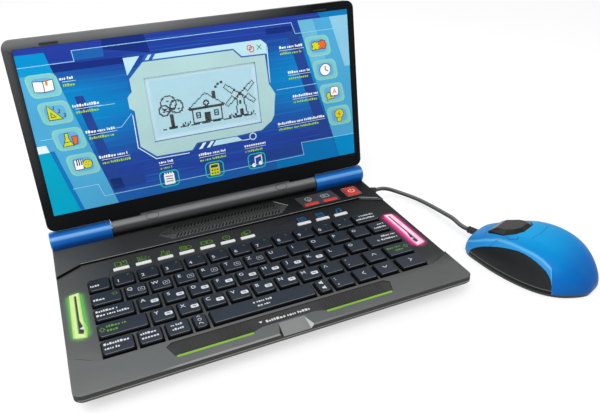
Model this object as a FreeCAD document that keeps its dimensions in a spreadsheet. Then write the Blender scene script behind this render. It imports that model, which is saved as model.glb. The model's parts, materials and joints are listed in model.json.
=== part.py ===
"""Toy laptop computer with a folding screen and a mouse on a cable.

Frame: millimetres. The origin is the centre of the base's footprint on the
table, +X is the user's right, +Y points to the hinge and +Z is up. The lid
stands open. Lid pieces are drawn flat in the lid's own frame (x across, y up
the lid from its lower edge, z out of the screen face) and then placed. Mouse
pieces are drawn in the mouse's own frame (+y to its nose) and then placed.
"""
import FreeCAD, Part
import math
import os

Vec = FreeCAD.Vector
Rot = FreeCAD.Rotation
Place = FreeCAD.Placement

doc = FreeCAD.newDocument("toy_laptop")
sheet = doc.addObject("Spreadsheet::Sheet", "Sizes")

# ---------------------------------------------------------------- dimensions
DIMENSIONS = [
    ("base_w", 290.0, "width of the base"),
    ("base_d", 190.0, "depth of the base"),
    ("corner", 6.0, "plan corner radius of the base"),
    ("floor_low", 1.0, "underside of the bottom case"),
    ("floor_th", 1.6, "thickness of the floor"),
    ("wall", 2.0, "wall thickness of the shells"),
    ("lip_low", 12.0, "height where the tapered underside meets the rim"),
    ("seam_level", 13.2, "joint line between the two case halves"),
    ("deck_top", 18.9, "top of the front and rear deck"),
    ("deck_th", 2.0, "deck thickness"),
    ("tray_top", 17.0, "top of the sunken keyboard tray"),
    ("tray_th", 1.6, "tray plate thickness"),
    ("tray_front", -69.2, "front wall of the tray"),
    ("tray_back", 51.2, "rear wall of the tray"),
    ("key_top", 19.8, "top of a key at rest"),
    ("key_gap", 0.3, "gap around a key in its opening"),
    ("key_wide", 16.2, "width of a letter key"),
    ("key_deep", 15.6, "depth of a key"),
    ("pitch_x", 18.77, "key spacing along a row"),
    ("pitch_y", 18.64, "spacing of the rows"),
    ("row_one", 15.95, "centre of the number row"),
    ("flange_low", 13.9, "bottom of the flange that keeps a key in"),
    ("flange_th", 1.2, "flange thickness"),
    ("flange_over", 0.55, "flange overlap under the tray, each side"),
    ("stem_low", 11.3, "bottom of the key stem"),
    ("board_low", 5.6, "bottom of the keyboard circuit board"),
    ("board_th", 1.6, "circuit board thickness"),
    ("membrane_th", 1.5, "rubber sheet thickness"),
    ("dome_top", 9.2, "top of the rubber domes"),
    ("axis_y", 86.0, "hinge axis, along Y"),
    ("axis_z", 25.6, "hinge axis, height"),
    ("barrel_r", 7.7, "radius of the hinge covers"),
    ("barrel_in", 95.2, "inner end of a hinge cover"),
    ("knuckle_r", 6.9, "radius of the turning hinge bar"),
    ("pin_r", 2.5, "radius of a hinge pin"),
    ("lid_w", 288.5, "lid width"),
    ("lid_len", 151.0, "lid length from its lower edge"),
    ("lid_th", 11.0, "lid thickness"),
    ("lid_skirt", 1.7, "lip of the lid below its lower datum"),
    ("lid_corner", 6.5, "corner radius of the lid"),
    ("lid_lean", 7.85, "lean of the open lid behind vertical, degrees"),
    ("lid_rise", 11.1, "lower edge of the lid above the hinge axis"),
    ("lid_front", 4.8, "screen face in front of the hinge axis"),
    ("bezel_th", 2.4, "thickness of the front frame of the lid"),
    ("mouse_len", 101.0, "length of the mouse"),
    ("mouse_half", 33.0, "half width of the mouse"),
    ("mouse_tall", 33.8, "height of the mouse"),
    ("mouse_x", 212.0, "centre of the mouse across"),
    ("mouse_y", -85.0, "centre of the mouse along"),
    ("mouse_turn", 21.0, "turn of the mouse's nose, degrees"),
    ("cable_r", 1.9, "cable radius"),
    ("cell_r", 7.05, "radius of an AA cell"),
    ("cell_len", 49.2, "length of an AA cell without its nub"),
]
for row, (alias, value, note) in enumerate(DIMENSIONS, start=1):
    sheet.set("A%d" % row, alias)
    sheet.set("B%d" % row, str(value))
    sheet.set("C%d" % row, note)
    sheet.setAlias("B%d" % row, alias)
doc.recompute()
D = {alias: float(sheet.get(alias)) for alias, _, _ in DIMENSIONS}

nodes = {}
counter = [0]


# ---------------------------------------------------------------- helpers
def new(kind, hint):
    """Add a document object with a unique name."""
    counter[0] += 1
    return doc.addObject(kind, "%s_%d" % (hint, counter[0]))


def bind(obj, **values):
    """Bind properties to expressions; numbers are written as constants."""
    for key, value in values.items():
        obj.setExpression(key.replace("__", "."), str(value))
    return obj


def span(low, high):
    """Expression for the distance between two levels."""
    return "(%s) - (%s)" % (high, low)


def box(x, y, z):
    """Box between pairs of limits; a limit is a number or an expression."""
    obj = new("Part::Box", "box")
    bind(obj, Length=span(*x), Width=span(*y), Height=span(*z))
    return bind(obj, Placement__Base__x=x[0], Placement__Base__y=y[0], Placement__Base__z=z[0])


def block(cx, cy, wide, deep, z):
    """Box given by its centre, its two widths and its height limits."""
    x = ("%s - (%s)/2" % (cx, wide), "%s + (%s)/2" % (cx, wide))
    y = ("%s - (%s)/2" % (cy, deep), "%s + (%s)/2" % (cy, deep))
    return box(x, y, z)


def rod(centre, radius, z, turn=None):
    """Cylinder; `turn` is "x" or "y" to lay it along that axis from z[0] to z[1]."""
    obj = new("Part::Cylinder", "rod")
    bind(obj, Radius=radius, Height=span(*z))
    if turn == "x":
        obj.Placement = Place(Vec(), Rot(Vec(0, 1, 0), 90))
        spot = (z[0], centre[0], centre[1])
    elif turn == "y":
        obj.Placement = Place(Vec(), Rot(Vec(1, 0, 0), -90))
        spot = (centre[0], z[0], centre[1])
    else:
        spot = (centre[0], centre[1], z[0])
    return bind(obj, Placement__Base__x=spot[0], Placement__Base__y=spot[1], Placement__Base__z=spot[2])


def polygon_sketch(loops, place=None):
    """Sketch of closed polygons."""
    sketch = new("Sketcher::SketchObject", "outline")
    lines = []
    for loop in loops:
        for a, b in zip(loop, loop[1:] + loop[:1]):
            lines.append(Part.LineSegment(Vec(a[0], a[1], 0), Vec(b[0], b[1], 0)))
    sketch.addGeometry(lines, False)
    if place:
        sketch.Placement = place
    return sketch


def upright_sketch(points, y):
    """Sketch of an (x, z) outline in the plane at one y."""
    return polygon_sketch([points], Place(Vec(0, y, 0), Rot(Vec(1, 0, 0), 90)))


def tilted_sketch(points, level):
    """Sketch of an outline at one height."""
    return polygon_sketch([points], Place(Vec(0, 0, level), Rot()))


def prism_set(loops, z):
    """Upright prisms over several outlines; an outline inside another is a hole."""
    sketch = polygon_sketch(loops)
    obj = new("Part::Extrusion", "prism")
    obj.Base = sketch
    obj.DirMode = "Custom"
    obj.Dir = Vec(0, 0, 1)
    obj.Solid = True
    bind(obj, LengthFwd=span(*z))
    return bind(obj, Placement__Base__z=z[0])


def prism(points, z):
    """Upright prism over one outline, or over an outline and its holes."""
    return prism_set(points if isinstance(points[0], list) else [points], z)


def side_prism(points, x):
    """Prism over a (y, z) outline between two positions along X."""
    obj = new("Part::Extrusion", "side")
    obj.Base = polygon_sketch([points])
    obj.DirMode = "Custom"
    obj.Dir = Vec(0, 0, 1)
    obj.Solid = True
    obj.Placement = Place(Vec(), Rot(Vec(1, 1, 1), 120))
    bind(obj, LengthFwd=span(*x))
    return bind(obj, Placement__Base__x=x[0])


def fuse(*parts):
    """One solid made of several overlapping ones."""
    obj = new("Part::MultiFuse", "fuse")
    obj.Shapes = list(parts)
    return obj


def gather(parts):
    """Group of separate solids."""
    obj = new("Part::Compound", "set")
    obj.Links = list(parts)
    return obj


def cut(base, *tools):
    """The base with the tools taken away."""
    obj = new("Part::Cut", "cut")
    obj.Base = base
    obj.Tool = tools[0] if len(tools) == 1 else fuse(*tools)
    return obj


def common(a, b):
    """The volume two solids share."""
    obj = new("Part::Common", "common")
    obj.Base = a
    obj.Tool = b
    return obj


def edge_numbers(shape, test):
    """Numbers of the edges that pass a test."""
    return [i for i, edge in enumerate(shape.Edges, start=1) if test(edge)]


def is_upright(edge):
    """True for an edge that runs along Z."""
    box_ = edge.BoundBox
    return box_.ZLength > 0.01 and box_.XLength < 1e-6 and box_.YLength < 1e-6


def at_level(level):
    """Test for edges that lie flat at one height."""
    return lambda edge: abs(edge.BoundBox.ZMin - level) < 1e-4 and abs(edge.BoundBox.ZMax - level) < 1e-4


def at_end(x):
    """Test for edges that lie in the plane at one x."""
    return lambda edge: abs(edge.BoundBox.XMin - x) < 1e-4 and abs(edge.BoundBox.XMax - x) < 1e-4


def round_edges(base, radius, test=is_upright):
    """Fillet the edges of the base that pass the test."""
    doc.recompute([base])
    obj = new("Part::Fillet", "round")
    obj.Base = base
    obj.Edges = [(i, radius, radius) for i in edge_numbers(base.Shape, test)]
    return obj


def bevel_edges(base, size, test):
    """Chamfer the edges of the base that pass the test."""
    doc.recompute([base])
    obj = new("Part::Chamfer", "bevel")
    obj.Base = base
    obj.Edges = [(i, size, size) for i in edge_numbers(base.Shape, test)]
    return obj


def body_pad(name, loops, z, lengths, place=None):
    """PartDesign body: one sketch with an outer loop and holes, padded up from z.

    A loop is a list of points, or (x, y, r) for a circle.
    """
    body = doc.addObject("PartDesign::Body", name)
    sketch = body.newObject("Sketcher::SketchObject", name + "_sketch")
    plane = [f for f in body.Origin.OriginFeatures if f.Role == "XY_Plane"][0]
    sketch.AttachmentSupport = (plane, [""])
    sketch.MapMode = "FlatFace"
    sketch.AttachmentOffset = Place(Vec(0, 0, z), Rot())
    for loop in loops:
        if isinstance(loop, tuple):
            sketch.addGeometry(Part.Circle(Vec(loop[0], loop[1], 0), Vec(0, 0, 1), loop[2]), False)
            continue
        for i in range(len(loop)):
            a = loop[i]
            b = loop[(i + 1) % len(loop)]
            sketch.addGeometry(Part.LineSegment(Vec(a[0], a[1], 0), Vec(b[0], b[1], 0)), False)
    pad = body.newObject("PartDesign::Pad", name + "_pad")
    pad.Profile = sketch
    bind(pad, Length=lengths)
    body.Tip = pad
    if place:
        body.Placement = place
    return body


def rect(x0, x1, y0, y1):
    """Corner points of a rectangle."""
    return [(x0, y0), (x1, y0), (x1, y1), (x0, y1)]


def mirrored(points):
    """The same outline on the other side of x = 0."""
    return [(-x, y) for x, y in reversed(points)]


def keep(name, obj, place=None):
    """Name a finished sub-part, and place it if it was drawn in its own frame."""
    obj.Label = name
    if place:
        obj.Placement = place
    nodes[name] = obj
    return obj


def loft(sections):
    """Solid through a few flat sketches."""
    obj = new("Part::Loft", "loft")
    obj.Sections = sections
    obj.Solid = True
    obj.Ruled = True
    return obj


def round_rect_sketch(x0, x1, y0, y1, r, z):
    """Sketch of a rectangle with round corners at one height."""
    sketch = new("Sketcher::SketchObject", "section")
    sketch.Placement = Place(Vec(0, 0, z), Rot())
    corners = [(x1 - r, y0 + r, 270), (x1 - r, y1 - r, 0), (x0 + r, y1 - r, 90), (x0 + r, y0 + r, 180)]
    arcs = []
    for cx, cy, start in corners:
        a = math.radians(start)
        b = math.radians(start + 90)
        arcs.append((cx, cy, a, b))
    for i, (cx, cy, a, b) in enumerate(arcs):
        sketch.addGeometry(Part.ArcOfCircle(Part.Circle(Vec(cx, cy, 0), Vec(0, 0, 1), r), a, b), False)
        nx, ny, na, _ = arcs[(i + 1) % 4]
        p = Vec(cx + r * math.cos(b), cy + r * math.sin(b), 0)
        q = Vec(nx + r * math.cos(na), ny + r * math.sin(na), 0)
        sketch.addGeometry(Part.LineSegment(p, q), False)
    return sketch


# ---------------------------------------------------------------- frames
LID = Place(
    Vec(
        0,
        D["axis_y"] + D["lid_rise"] * math.sin(math.radians(D["lid_lean"]))
        - D["lid_front"] * math.cos(math.radians(D["lid_lean"])),
        D["axis_z"] + D["lid_rise"] * math.cos(math.radians(D["lid_lean"]))
        + D["lid_front"] * math.sin(math.radians(D["lid_lean"])),
    ),
    Rot(Vec(1, 0, 0), 90 - D["lid_lean"]),
)
MOUSE = Place(Vec(D["mouse_x"], D["mouse_y"], 0), Rot(Vec(0, 0, 1), D["mouse_turn"]))

HALF_W = "Sizes.base_w/2"
HALF_D = "Sizes.base_d/2"
TRAY_LOW = "Sizes.tray_top - Sizes.tray_th"
DECK_LOW = "Sizes.deck_top - Sizes.deck_th"

# ---------------------------------------------------------------- key layout
# Each entry: node, list of centres along x, width, row number counted from the back.
PX = D["pitch_x"]


def run(first, count):
    """Centres of a run of keys at the standard spacing."""
    return [first + PX * i for i in range(count)]


KEYS = [
    ("esc_key", [-115.3], 16.2, 0),
    ("number_keys", run(-97.0, 11), D["key_wide"], 0),
    ("level_key", [-112.45], 21.9, 1),
    ("top_row_keys", run(-91.0, 11), D["key_wide"], 1),
    ("favourites_key", [-109.4], 28.0, 2),
    ("home_row_keys", run(-84.9, 10), D["key_wide"], 2),
    ("enter_key", [108.85], 29.1, 2),
    ("left_shift_key", [-106.35], 34.1, 3),
    ("bottom_row_keys", run(-78.8, 9), D["key_wide"], 3),
    ("right_shift_key", [112.15], 22.5, 3),
    ("repeat_key", [-112.55], 21.7, 4),
    ("space_key", [-10.2], 78.0, 4),
]
GROUPS = [  # keys of different widths that share a node: (centre, width, row)
    ("erase_keys", [(112.2, 22.4, 0), (115.2, 16.4, 1)]),
    ("lower_row_keys", [(-91.2, 16.4, 4), (-72.3, 16.6, 4), (-56.7, 10.0, 4), (36.5, 10.4, 4), (52.5, 16.4, 4)]),
    ("arrow_keys", [(-78.8 + 9 * PX, D["key_wide"], 3), (71.3, 16.4, 4), (89.9, 16.4, 4), (112.2, 22.4, 4)]),
]
SHORTCUTS = [-96.3 + 17.65 * i for i in range(7)] + [61.9, 79.8, 97.7]
SHORTCUT_Y = 33.5
RED_BUTTONS = [(80.9, 59.2), (99.7, 59.2)]
POWER = (124.6, 65.6)


def row_y(row):
    """Centre of a key row, as an expression."""
    return "Sizes.row_one - %d*Sizes.pitch_y" % row


openings = []
stems = []


def key_cap(cx, cy, wide, deep, top, travel_low, corner=2.5, bevel=0.9, over="Sizes.flange_over"):
    """A hollow cap with a flange under the tray and a stem over its dome."""
    low = "Sizes.flange_low"
    cap = round_edges(block(cx, cy, wide, deep, (low, top)), corner)
    doc.recompute([cap])
    level = cap.Shape.BoundBox.ZMax
    cap = bevel_edges(cap, bevel, at_level(level))
    rim = "2*(Sizes.key_gap + %s)" % over
    flange = block(cx, cy, "%s + %s" % (wide, rim), "%s + %s" % (deep, rim), (low, "Sizes.flange_low + Sizes.flange_th"))
    hollow = block(cx, cy, "%s - 3.2" % wide, "%s - 3.2" % deep, (low, "%s - 1.8" % top))
    stem = rod((cx, cy), 1.6, (travel_low, "%s - 1" % top))
    openings.append(block(cx, cy, "%s + 2*Sizes.key_gap" % wide, "%s + 2*Sizes.key_gap" % deep, (14.0, 20.0)))
    stems.append((cx, cy))
    return fuse(cut(fuse(cap, flange), hollow), stem)


def small_button(cx, cy, wide, deep, top, low, stem_low, bevel=0.4):
    """A solid push button with a flange and a stem."""
    cap = round_edges(block(cx, cy, wide, deep, (low, top)), 0.9)
    doc.recompute([cap])
    cap = bevel_edges(cap, bevel, at_level(cap.Shape.BoundBox.ZMax))
    flange = block(cx, cy, wide + 1.4, deep + 1.4, (low, "%s + 0.9" % low))
    stem = rod((cx, cy), 1.2, (stem_low, "%s + 1" % low))
    openings.append(block(cx, cy, wide + 0.4, deep + 0.4, (15.0, 20.0)))
    return fuse(cap, flange, stem)


for name, centres, wide, row in KEYS:
    caps = []
    for cx in centres:
        caps.append(key_cap(round(cx, 3), row_y(row), wide, "Sizes.key_deep", "Sizes.key_top", "Sizes.stem_low"))
    keep(name, gather(caps) if len(caps) > 1 else caps[0])
for name, members in GROUPS:
    keep(name, gather([key_cap(round(cx, 3), row_y(row), wide, "Sizes.key_deep", "Sizes.key_top", "Sizes.stem_low",
                               corner=3.6 if wide < 12 else 2.5) for cx, wide, row in members]))
keep("shortcut_buttons", gather([
    small_button(round(cx, 3), SHORTCUT_Y, 12.6, 3.6, "Sizes.tray_top + 0.9", 13.9, 10.4) for cx in SHORTCUTS
]))
stems.extend((round(cx, 3), SHORTCUT_Y) for cx in SHORTCUTS)
for name, spot in zip(("red_button_left", "red_button_right"), RED_BUTTONS):
    keep(name, small_button(spot[0], spot[1], 13.8, 4.2, "Sizes.deck_top + 0.9", 15.4, 11.2))
keep("power_button", small_button(POWER[0], POWER[1], 12.6, 14.6, "Sizes.deck_top + 0.9", 15.4, 11.2, bevel=0.6))

# ---------------------------------------------------------------- shared outlines of the deck
FRONT_STEP = [(-160, -110), (160, -110), (160, -50.0), (126, D["tray_front"]), (-126, D["tray_front"]), (-160, -50.0)]
REAR_STEP = [(-160, 110), (-160, 32.0), (-126, D["tray_back"]), (126, D["tray_back"]), (160, 32.0), (160, 110)]
FRONT_ROOM = [(-150, -110), (150, -110), (150, -58.5), (126, -72.0), (-126, -72.0), (-150, -58.5)]
REAR_ROOM = [(-150, 110), (-150, 40.5), (-126, 54.0), (126, 54.0), (150, 40.5), (150, 110)]
PIPE = [(130.6, 14.6), (138.0, 13.2), (139.8, -37.4), (130.4, -40.0), (128.7, -30.4), (131.0, -21.0)]
PIPE_HOLE = [(133.1, 11.8), (134.9, 11.4), (136.0, -34.0), (132.4, -35.6), (131.4, -29.8), (133.6, -19.6)]
BAND = [(-84, -75), (-80.5, -85.2), (-27, -85.2), (-20, -82.6), (20, -82.6), (27, -85.2), (80.5, -85.2),
        (84, -75), (80, -71.8), (-80, -71.8)]
GRILLE = [(-60, 67), (-50, 56.5), (50, 56.5), (60, 67), (50, 79.5), (-50, 79.5)]
POSTS = [(-135.5, -56), (135.5, -56), (-135.5, 26), (135.5, 26), (-135.5, 84), (135.5, 84)]
FEET = [(-118, -58), (118, -58), (-118, 62), (118, 62)]
PIPE_LEGS = [(136.6, 8), (137.7, -31)]
CABLE_EXIT = (145.0, 64.5, 14.9)


def grown(points, size, centre=None):
    """An outline scaled so that its bounding box grows by `size` on each side."""
    xs = [p[0] for p in points]
    ys = [p[1] for p in points]
    cx = (min(xs) + max(xs)) / 2
    cy = (min(ys) + max(ys)) / 2
    kx = 1 + 2 * size / (max(xs) - min(xs))
    ky = 1 + 2 * size / (max(ys) - min(ys))
    return [(cx + (x - cx) * kx, cy + (y - cy) * ky) for x, y in points]


# ---------------------------------------------------------------- bottom case
low = D["floor_low"]
rim = D["seam_level"]
outer = fuse(
    loft([round_rect_sketch(-141, 141, -69, 92, 8, low), round_rect_sketch(-144.2, 144.2, -94.2, 94.2, 5.6, D["lip_low"])]),
    round_edges(box((-144.2, 144.2), (-94.2, 94.2), ("Sizes.lip_low", "Sizes.seam_level")), 5.6),
)
inner = fuse(
    loft([round_rect_sketch(-139.2, 139.2, -66, 90.2, 6, low + D["floor_th"]),
          round_rect_sketch(-142.2, 142.2, -90.2, 92.2, 4, D["lip_low"])]),
    round_edges(box((-142.2, 142.2), (-90.2, 92.2), ("Sizes.lip_low", "Sizes.seam_level + 1")), 4),
)
shell = cut(outer, inner)
tubes = [rod(p, 4.2, ("Sizes.floor_low", 7.8)) for p in POSTS]
rests = [rod((x, y), 2.5, (2.0, "Sizes.board_low")) for x in (-110, -40, 40, 110) for y in (-55, 0, 30)]
rests += [rod((x, y), 2.2, (2.0, 7.2)) for x in (40, 128) for y in (56, 70)]
rests += [rod((x, y), 2.0, (2.0, 5.95)) for x in (-135.5, 135.5) for y in (-30, 6)]
bay = [box((-85.5, 86.5), (73.2, 74.4), (2.0, 13.0)), box((-85.5, -84.0), (74.0, 91.0), (2.0, 13.0)),
       box((84.8, 86.5), (74.0, 91.0), (2.0, 13.0))]
door_boss = rod((92.5, 82.5), 3.2, (2.0, 9.0))
ring = cut(rod((0, 58.6), 15.4, (2.0, 6.3)), rod((0, 58.6), 13.4, (1.9, 7.0)))
solid = fuse(shell, *tubes, *rests, *bay, door_boss, ring)
tools = [rod(p, 1.4, (0, 10)) for p in POSTS]
tools += [rod(p, 2.9, (0, 4.2)) for p in POSTS]
tools += [rod(p, 6.2, (0, 1.6)) for p in FEET]
tools += [box((-83.8, 84.6), (74.6, 89.9), (0, 3)), box((-86.2, 97.4), (73.9, 91.0), (0, 2.25))]
tools += [rod((92.5, 82.5), 0.9, (2, 8)), rod((CABLE_EXIT[1], CABLE_EXIT[2]), 2.7, (140, 150), "x")]
keep("base_bottom_case", cut(solid, *tools))

# ---------------------------------------------------------------- top case
slab = round_edges(box(("-" + HALF_W, HALF_W), ("-" + HALF_D, HALF_D), ("Sizes.seam_level", "Sizes.deck_top")), D["corner"])
slab = bevel_edges(slab, 0.9, at_level(D["deck_top"]))
tray = cut(box((-150, 150), (-80, 70), ("Sizes.tray_top", 25)), prism(FRONT_STEP, (10, 30)), prism(REAR_STEP, (10, 30)))
room = round_edges(box((-143, 143), (-93, 93), (10, TRAY_LOW)), 4)
front_room = common(prism(FRONT_ROOM, (12, DECK_LOW)), round_edges(box((-143, 143), (-93, 93), (11, DECK_LOW)), 4))
rear_room = common(prism(REAR_ROOM, (12, DECK_LOW)), round_edges(box((-143, 143), (-93, 93), (11, DECK_LOW)), 4))
notch = loft([
    upright_sketch([(-8.8, 19.6), (10.4, 19.6), (10.3, 18.87), (-8.7, 18.87)], -83.7),
    upright_sketch([(-13.0, 19.6), (14.3, 19.6), (11.0, 15.85), (-9.0, 15.85)], -95.6),
])
case = cut(slab, tray, room, front_room, rear_room)
case = fuse(case, *[rod(p, 3.4, (8.0, "Sizes.tray_top - 1" if p[1] < 40 else "Sizes.deck_top - 1")) for p in POSTS],
            box((-14, 15), (-93.5, -84), (14.4, 17.5)))
tools = [rod(p, 1.02, (6, 15.6)) for p in POSTS]
tools += openings
tools += [notch, prism(GRILLE, (17.6, 25)), prism(grown(GRILLE, -1.2), (10, 25)), prism(grown(BAND, 0.1), (18.0, 25))]
for side in (-1, 1):
    flip = mirrored if side < 0 else list
    tools.append(box(tuple(sorted((side * 26.9, side * 79.6))), (-87.4, -85.3), (17.7, 25)))
    tools.append(prism([flip(PIPE), flip(grown(PIPE_HOLE, -0.1))], (16.0, 25)))
    tools += [rod((side * x, y), 1.3, (10, 17)) for x, y in PIPE_LEGS]
    seat = tuple(sorted((side * 95.1, side * 146)))
    tools.append(rod(("Sizes.axis_y", "Sizes.axis_z"), "Sizes.barrel_r + 0.03", seat, "x"))
tools.append(rod(("Sizes.axis_y", "Sizes.axis_z"), 7.45, (-94.6, 94.6), "x"))
tools.append(rod((CABLE_EXIT[1], CABLE_EXIT[2]), 2.55, (140, 150), "x"))
keep("base_top_case", cut(case, *tools))

# ---------------------------------------------------------------- inserts of the base
slots = []
for line, (y0, lean) in enumerate([(58.0, 3.2), (64.6, -3.2), (71.2, 3.2)]):
    for i in range(-17, 18):
        x = 3.1 * i
        reach = 57.5 - abs(y0 + 3.2 - 67.5) * 0.75 - 3.5
        if abs(x) < reach:
            slots.append([(x, y0), (x + 1.3, y0), (x + 1.3 + lean, y0 + 5.8), (x + lean, y0 + 5.8)])
keep("speaker_grille", cut(prism(grown(GRILLE, -0.1), (17.65, "Sizes.deck_top - 0.2")), prism_set(slots, (17, 20))))
ribs = [rect(x, x + 1.1, -84.0, -72.8) for x in [side * (27.5 + 2.4 * i) - 0.5 for i in range(21) for side in (-1, 1)]]
keep("front_panel", fuse(prism(grown(BAND, -0.05), (18.05, 18.45)), prism_set(ribs, (18.4, 18.8))))
keep("accent_strips", gather([
    round_edges(box((27.0, 79.5), (-87.3, -85.4), (17.75, "Sizes.deck_top + 0.15")), 0.6),
    round_edges(box((-79.5, -27.0), (-87.3, -85.4), (17.75, "Sizes.deck_top + 0.15")), 0.6),
]))
for name, side in (("light_pipe_left", -1), ("light_pipe_right", 1)):
    flip = mirrored if side < 0 else list
    ring = prism([flip(grown(PIPE, -0.12)), flip(PIPE_HOLE)], (16.0, "Sizes.tray_top + 0.5"))
    keep(name, fuse(ring, *[rod((side * x, y), 1.2, (8.8, 16.5)) for x, y in PIPE_LEGS]))
covers = []
pins = []
for side in (-1, 1):
    limits = tuple(sorted((side * D["barrel_in"], side * D["base_w"] / 2)))
    end = side * D["base_w"] / 2
    tube = bevel_edges(rod(("Sizes.axis_y", "Sizes.axis_z"), "Sizes.barrel_r", limits, "x"), 0.9, at_end(end))
    limits = tuple(sorted((side * D["barrel_in"], end - side * 0.8)))
    foot = side_prism([(79.0, 22.0), (80.4, D["deck_top"]), (91.6, D["deck_top"]), (93.0, 22.0)], limits)
    cover = fuse(tube, foot)
    bore = rod(("Sizes.axis_y", "Sizes.axis_z"), "Sizes.pin_r + 0.02", tuple(sorted((side * 90, side * 112.2))), "x")
    core = rod(("Sizes.axis_y", "Sizes.axis_z"), "Sizes.barrel_r - 1.9", tuple(sorted((side * 112.2, side * 143.2))), "x")
    covers.append(cut(cover, bore, core))
    pins.append(rod(("Sizes.axis_y", "Sizes.axis_z"), "Sizes.pin_r", tuple(sorted((side * 78.5, side * 112.0))), "x"))
keep("hinge_covers", gather(covers))
keep("hinge_pins", gather(pins))

# ---------------------------------------------------------------- inside the base
keep("keypad_board", body_pad("keypad_board", [rect(-124.5, 124.5, -66.4, 40.0)] + [
    (x, y, 1.6) for x in (-118, 118) for y in (-28, 10)], D["board_low"], "Sizes.board_th"))
sheet_top = D["board_low"] + D["board_th"] + 0.05
domes = [rod((x, y), 2.4, (sheet_top + 0.5, "Sizes.dome_top" if y != SHORTCUT_Y else "Sizes.dome_top + 0.1")) for x, y in stems]
keep("key_membrane", fuse(box((-124.5, 124.5), (-66.4, 40.0), (sheet_top, "%s + Sizes.membrane_th" % sheet_top)), *domes))
parts = [box((34, 132), (53, 72.8), (7.2, 8.8)), box((48, 62), (56, 68), (8.8, 10.4)), box((106, 113), (62, 70), (8.8, 10.0))]
parts += [block(x, y, 4.5, 4.5, (8.8, 10.2)) for x, y in RED_BUTTONS + [POWER]]
keep("main_board", fuse(*parts))
keep("led_boards", gather([fuse(box((min(a, b), max(a, b)), (-36, 12), (6.0, 7.2)),
                                *[block(side * x, y, 3, 3, (7.2, 8.6)) for x, y in PIPE_LEGS])
                           for side, a, b in ((-1, -139.6, -131.5), (1, 131.5, 139.6))]))
keep("speaker", fuse(rod((0, 58.6), 14.3, (6.4, 8.0)), rod((0, 58.6), 12.8, (7.9, 13.5)), rod((0, 58.6), 8.0, (3.2, 6.5))))
cells = []
for cx in (-52.6, 0, 52.6):
    end = "%s + Sizes.cell_len/2" % cx
    can = rod((82.5, 9.55), "Sizes.cell_r", ("%s - Sizes.cell_len/2" % cx, end), "x")
    cells.append(fuse(can, rod((82.5, 9.55), 2.7, (end, "%s + 1.1" % end), "x")))
keep("batteries", gather(cells))
keep("battery_contacts", gather([block(x, 82.5, 0.5, 9, (4.0, 13.5)) for x in (-79.6, -26.0, 26.7, 79.6)]))
door_hole = (92.5, 82.5, 1.2)
door = body_pad("battery_door", [rect(-86.0, 97.2, 74.1, 90.8), door_hole], D["floor_low"], 1.2)
keep("battery_door", door)
keep("battery_door_screw", fuse(rod((92.5, 82.5), 2.0, (0.3, 1.0)), rod((92.5, 82.5), 0.88, (0.9, 7.6))))
keep("rubber_feet", gather([rod(p, 6.0, (0, 1.6)) for p in FEET]))
keep("case_screws", gather([fuse(rod(p, 2.7, (2.3, 4.2)), rod(p, 1.0, (4.1, 15.2))) for p in POSTS]))

# ---------------------------------------------------------------- lid, in its own frame
LH = "Sizes.lid_w/2"
SCREEN = (-137.0, 138.0, 11.6, 144.2)
GLASS = (-46.6, 47.8, 57.6, 110.4)
BOSSES = [(-130, 14), (130, 14), (-130, 76), (130, 76), (-130, 138), (130, 138)]
SEAT = "-(Sizes.bezel_th + 1)"
AXIS = ("-Sizes.lid_rise", "-Sizes.lid_front")
frame_plate = round_edges(box(("-" + LH, LH), ("-Sizes.lid_skirt", "Sizes.lid_len"), (SEAT, 0)), D["lid_corner"])
frame_plate = bevel_edges(frame_plate, 0.7, at_level(0))
bezel = fuse(frame_plate, *[rod(p, 2.6, (-7.2, -3.0)) for p in BOSSES])
bezel = cut(bezel, box(SCREEN[:2], SCREEN[2:], (-1.6, 1)), box((-49.2, 50.4), (55.2, 112.8), (-9, 1)),
            *[rod(p, 0.95, (-8, -3.9)) for p in BOSSES],
            *[box((x - 6.6, x + 6.6), (145.3, 146.7), (-1.2, 1)) for x in (-111.2, 111.2)])
keep("lid_front_bezel", bezel, LID)
back = round_edges(box(("-" + LH, LH), ("-Sizes.lid_skirt", "Sizes.lid_len"), ("-Sizes.lid_th", SEAT)), D["lid_corner"])
back = bevel_edges(back, 2.2, at_level(-D["lid_th"]))
hollow = round_edges(box(("-%s + 2" % LH, "%s - 2" % LH), ("2.2 - Sizes.lid_skirt", "Sizes.lid_len - 2"), ("-Sizes.lid_th + 2", 0)), 4.5)
back = fuse(cut(back, hollow), *[rod(p, 3.4, (-9.5, -7.4)) for p in BOSSES])
back = cut(back, box((-70.3, 70.3), (-3, 4), (-7.5, -2)), *[rod(p, 1.3, (-12, -7)) for p in BOSSES],
           *[rod(p, 2.5, (-12, -8.8)) for p in BOSSES])
keep("lid_rear_cover", back, LID)
keep("lid_screws", gather([fuse(rod(p, 2.2, (-10.2, -8.8)), rod(p, 0.92, (-8.9, -4.3))) for p in BOSSES]), LID)
keep("screen_panel", body_pad("screen_panel", [rect(-136.9, 137.9, 11.7, 144.1),
     rect(GLASS[0] - 0.1, GLASS[1] + 0.1, GLASS[2] - 0.1, GLASS[3] + 0.1)], -1.55, 1.3), LID)
keep("lcd_window", body_pad("lcd_window", [rect(*GLASS)], -1.55, 1.3), LID)
keep("lcd_display", body_pad("lcd_display", [rect(-49.0, 50.2, 55.4, 112.6)], -3.1, 1.45), LID)
keep("lcd_board", fuse(box((-60, 60), (48, 120), (-5.2, -3.6)), box((-20, 10), (60, 82), (-6.8, -5.1))), LID)
neck = box((-70, 70), (-12, 9), (-7.2, -3.7))
bar = fuse(rod(AXIS, "Sizes.knuckle_r", (-94.4, 94.4), "x"), neck)
bar = cut(bar, rod(AXIS, "Sizes.pin_r + 0.05", (-95, -78), "x"), rod(AXIS, "Sizes.pin_r + 0.05", (78, 95), "x"),
          box((-8.4, 8.4), (-9, 10), (-5.9, -5.1)))
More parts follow.
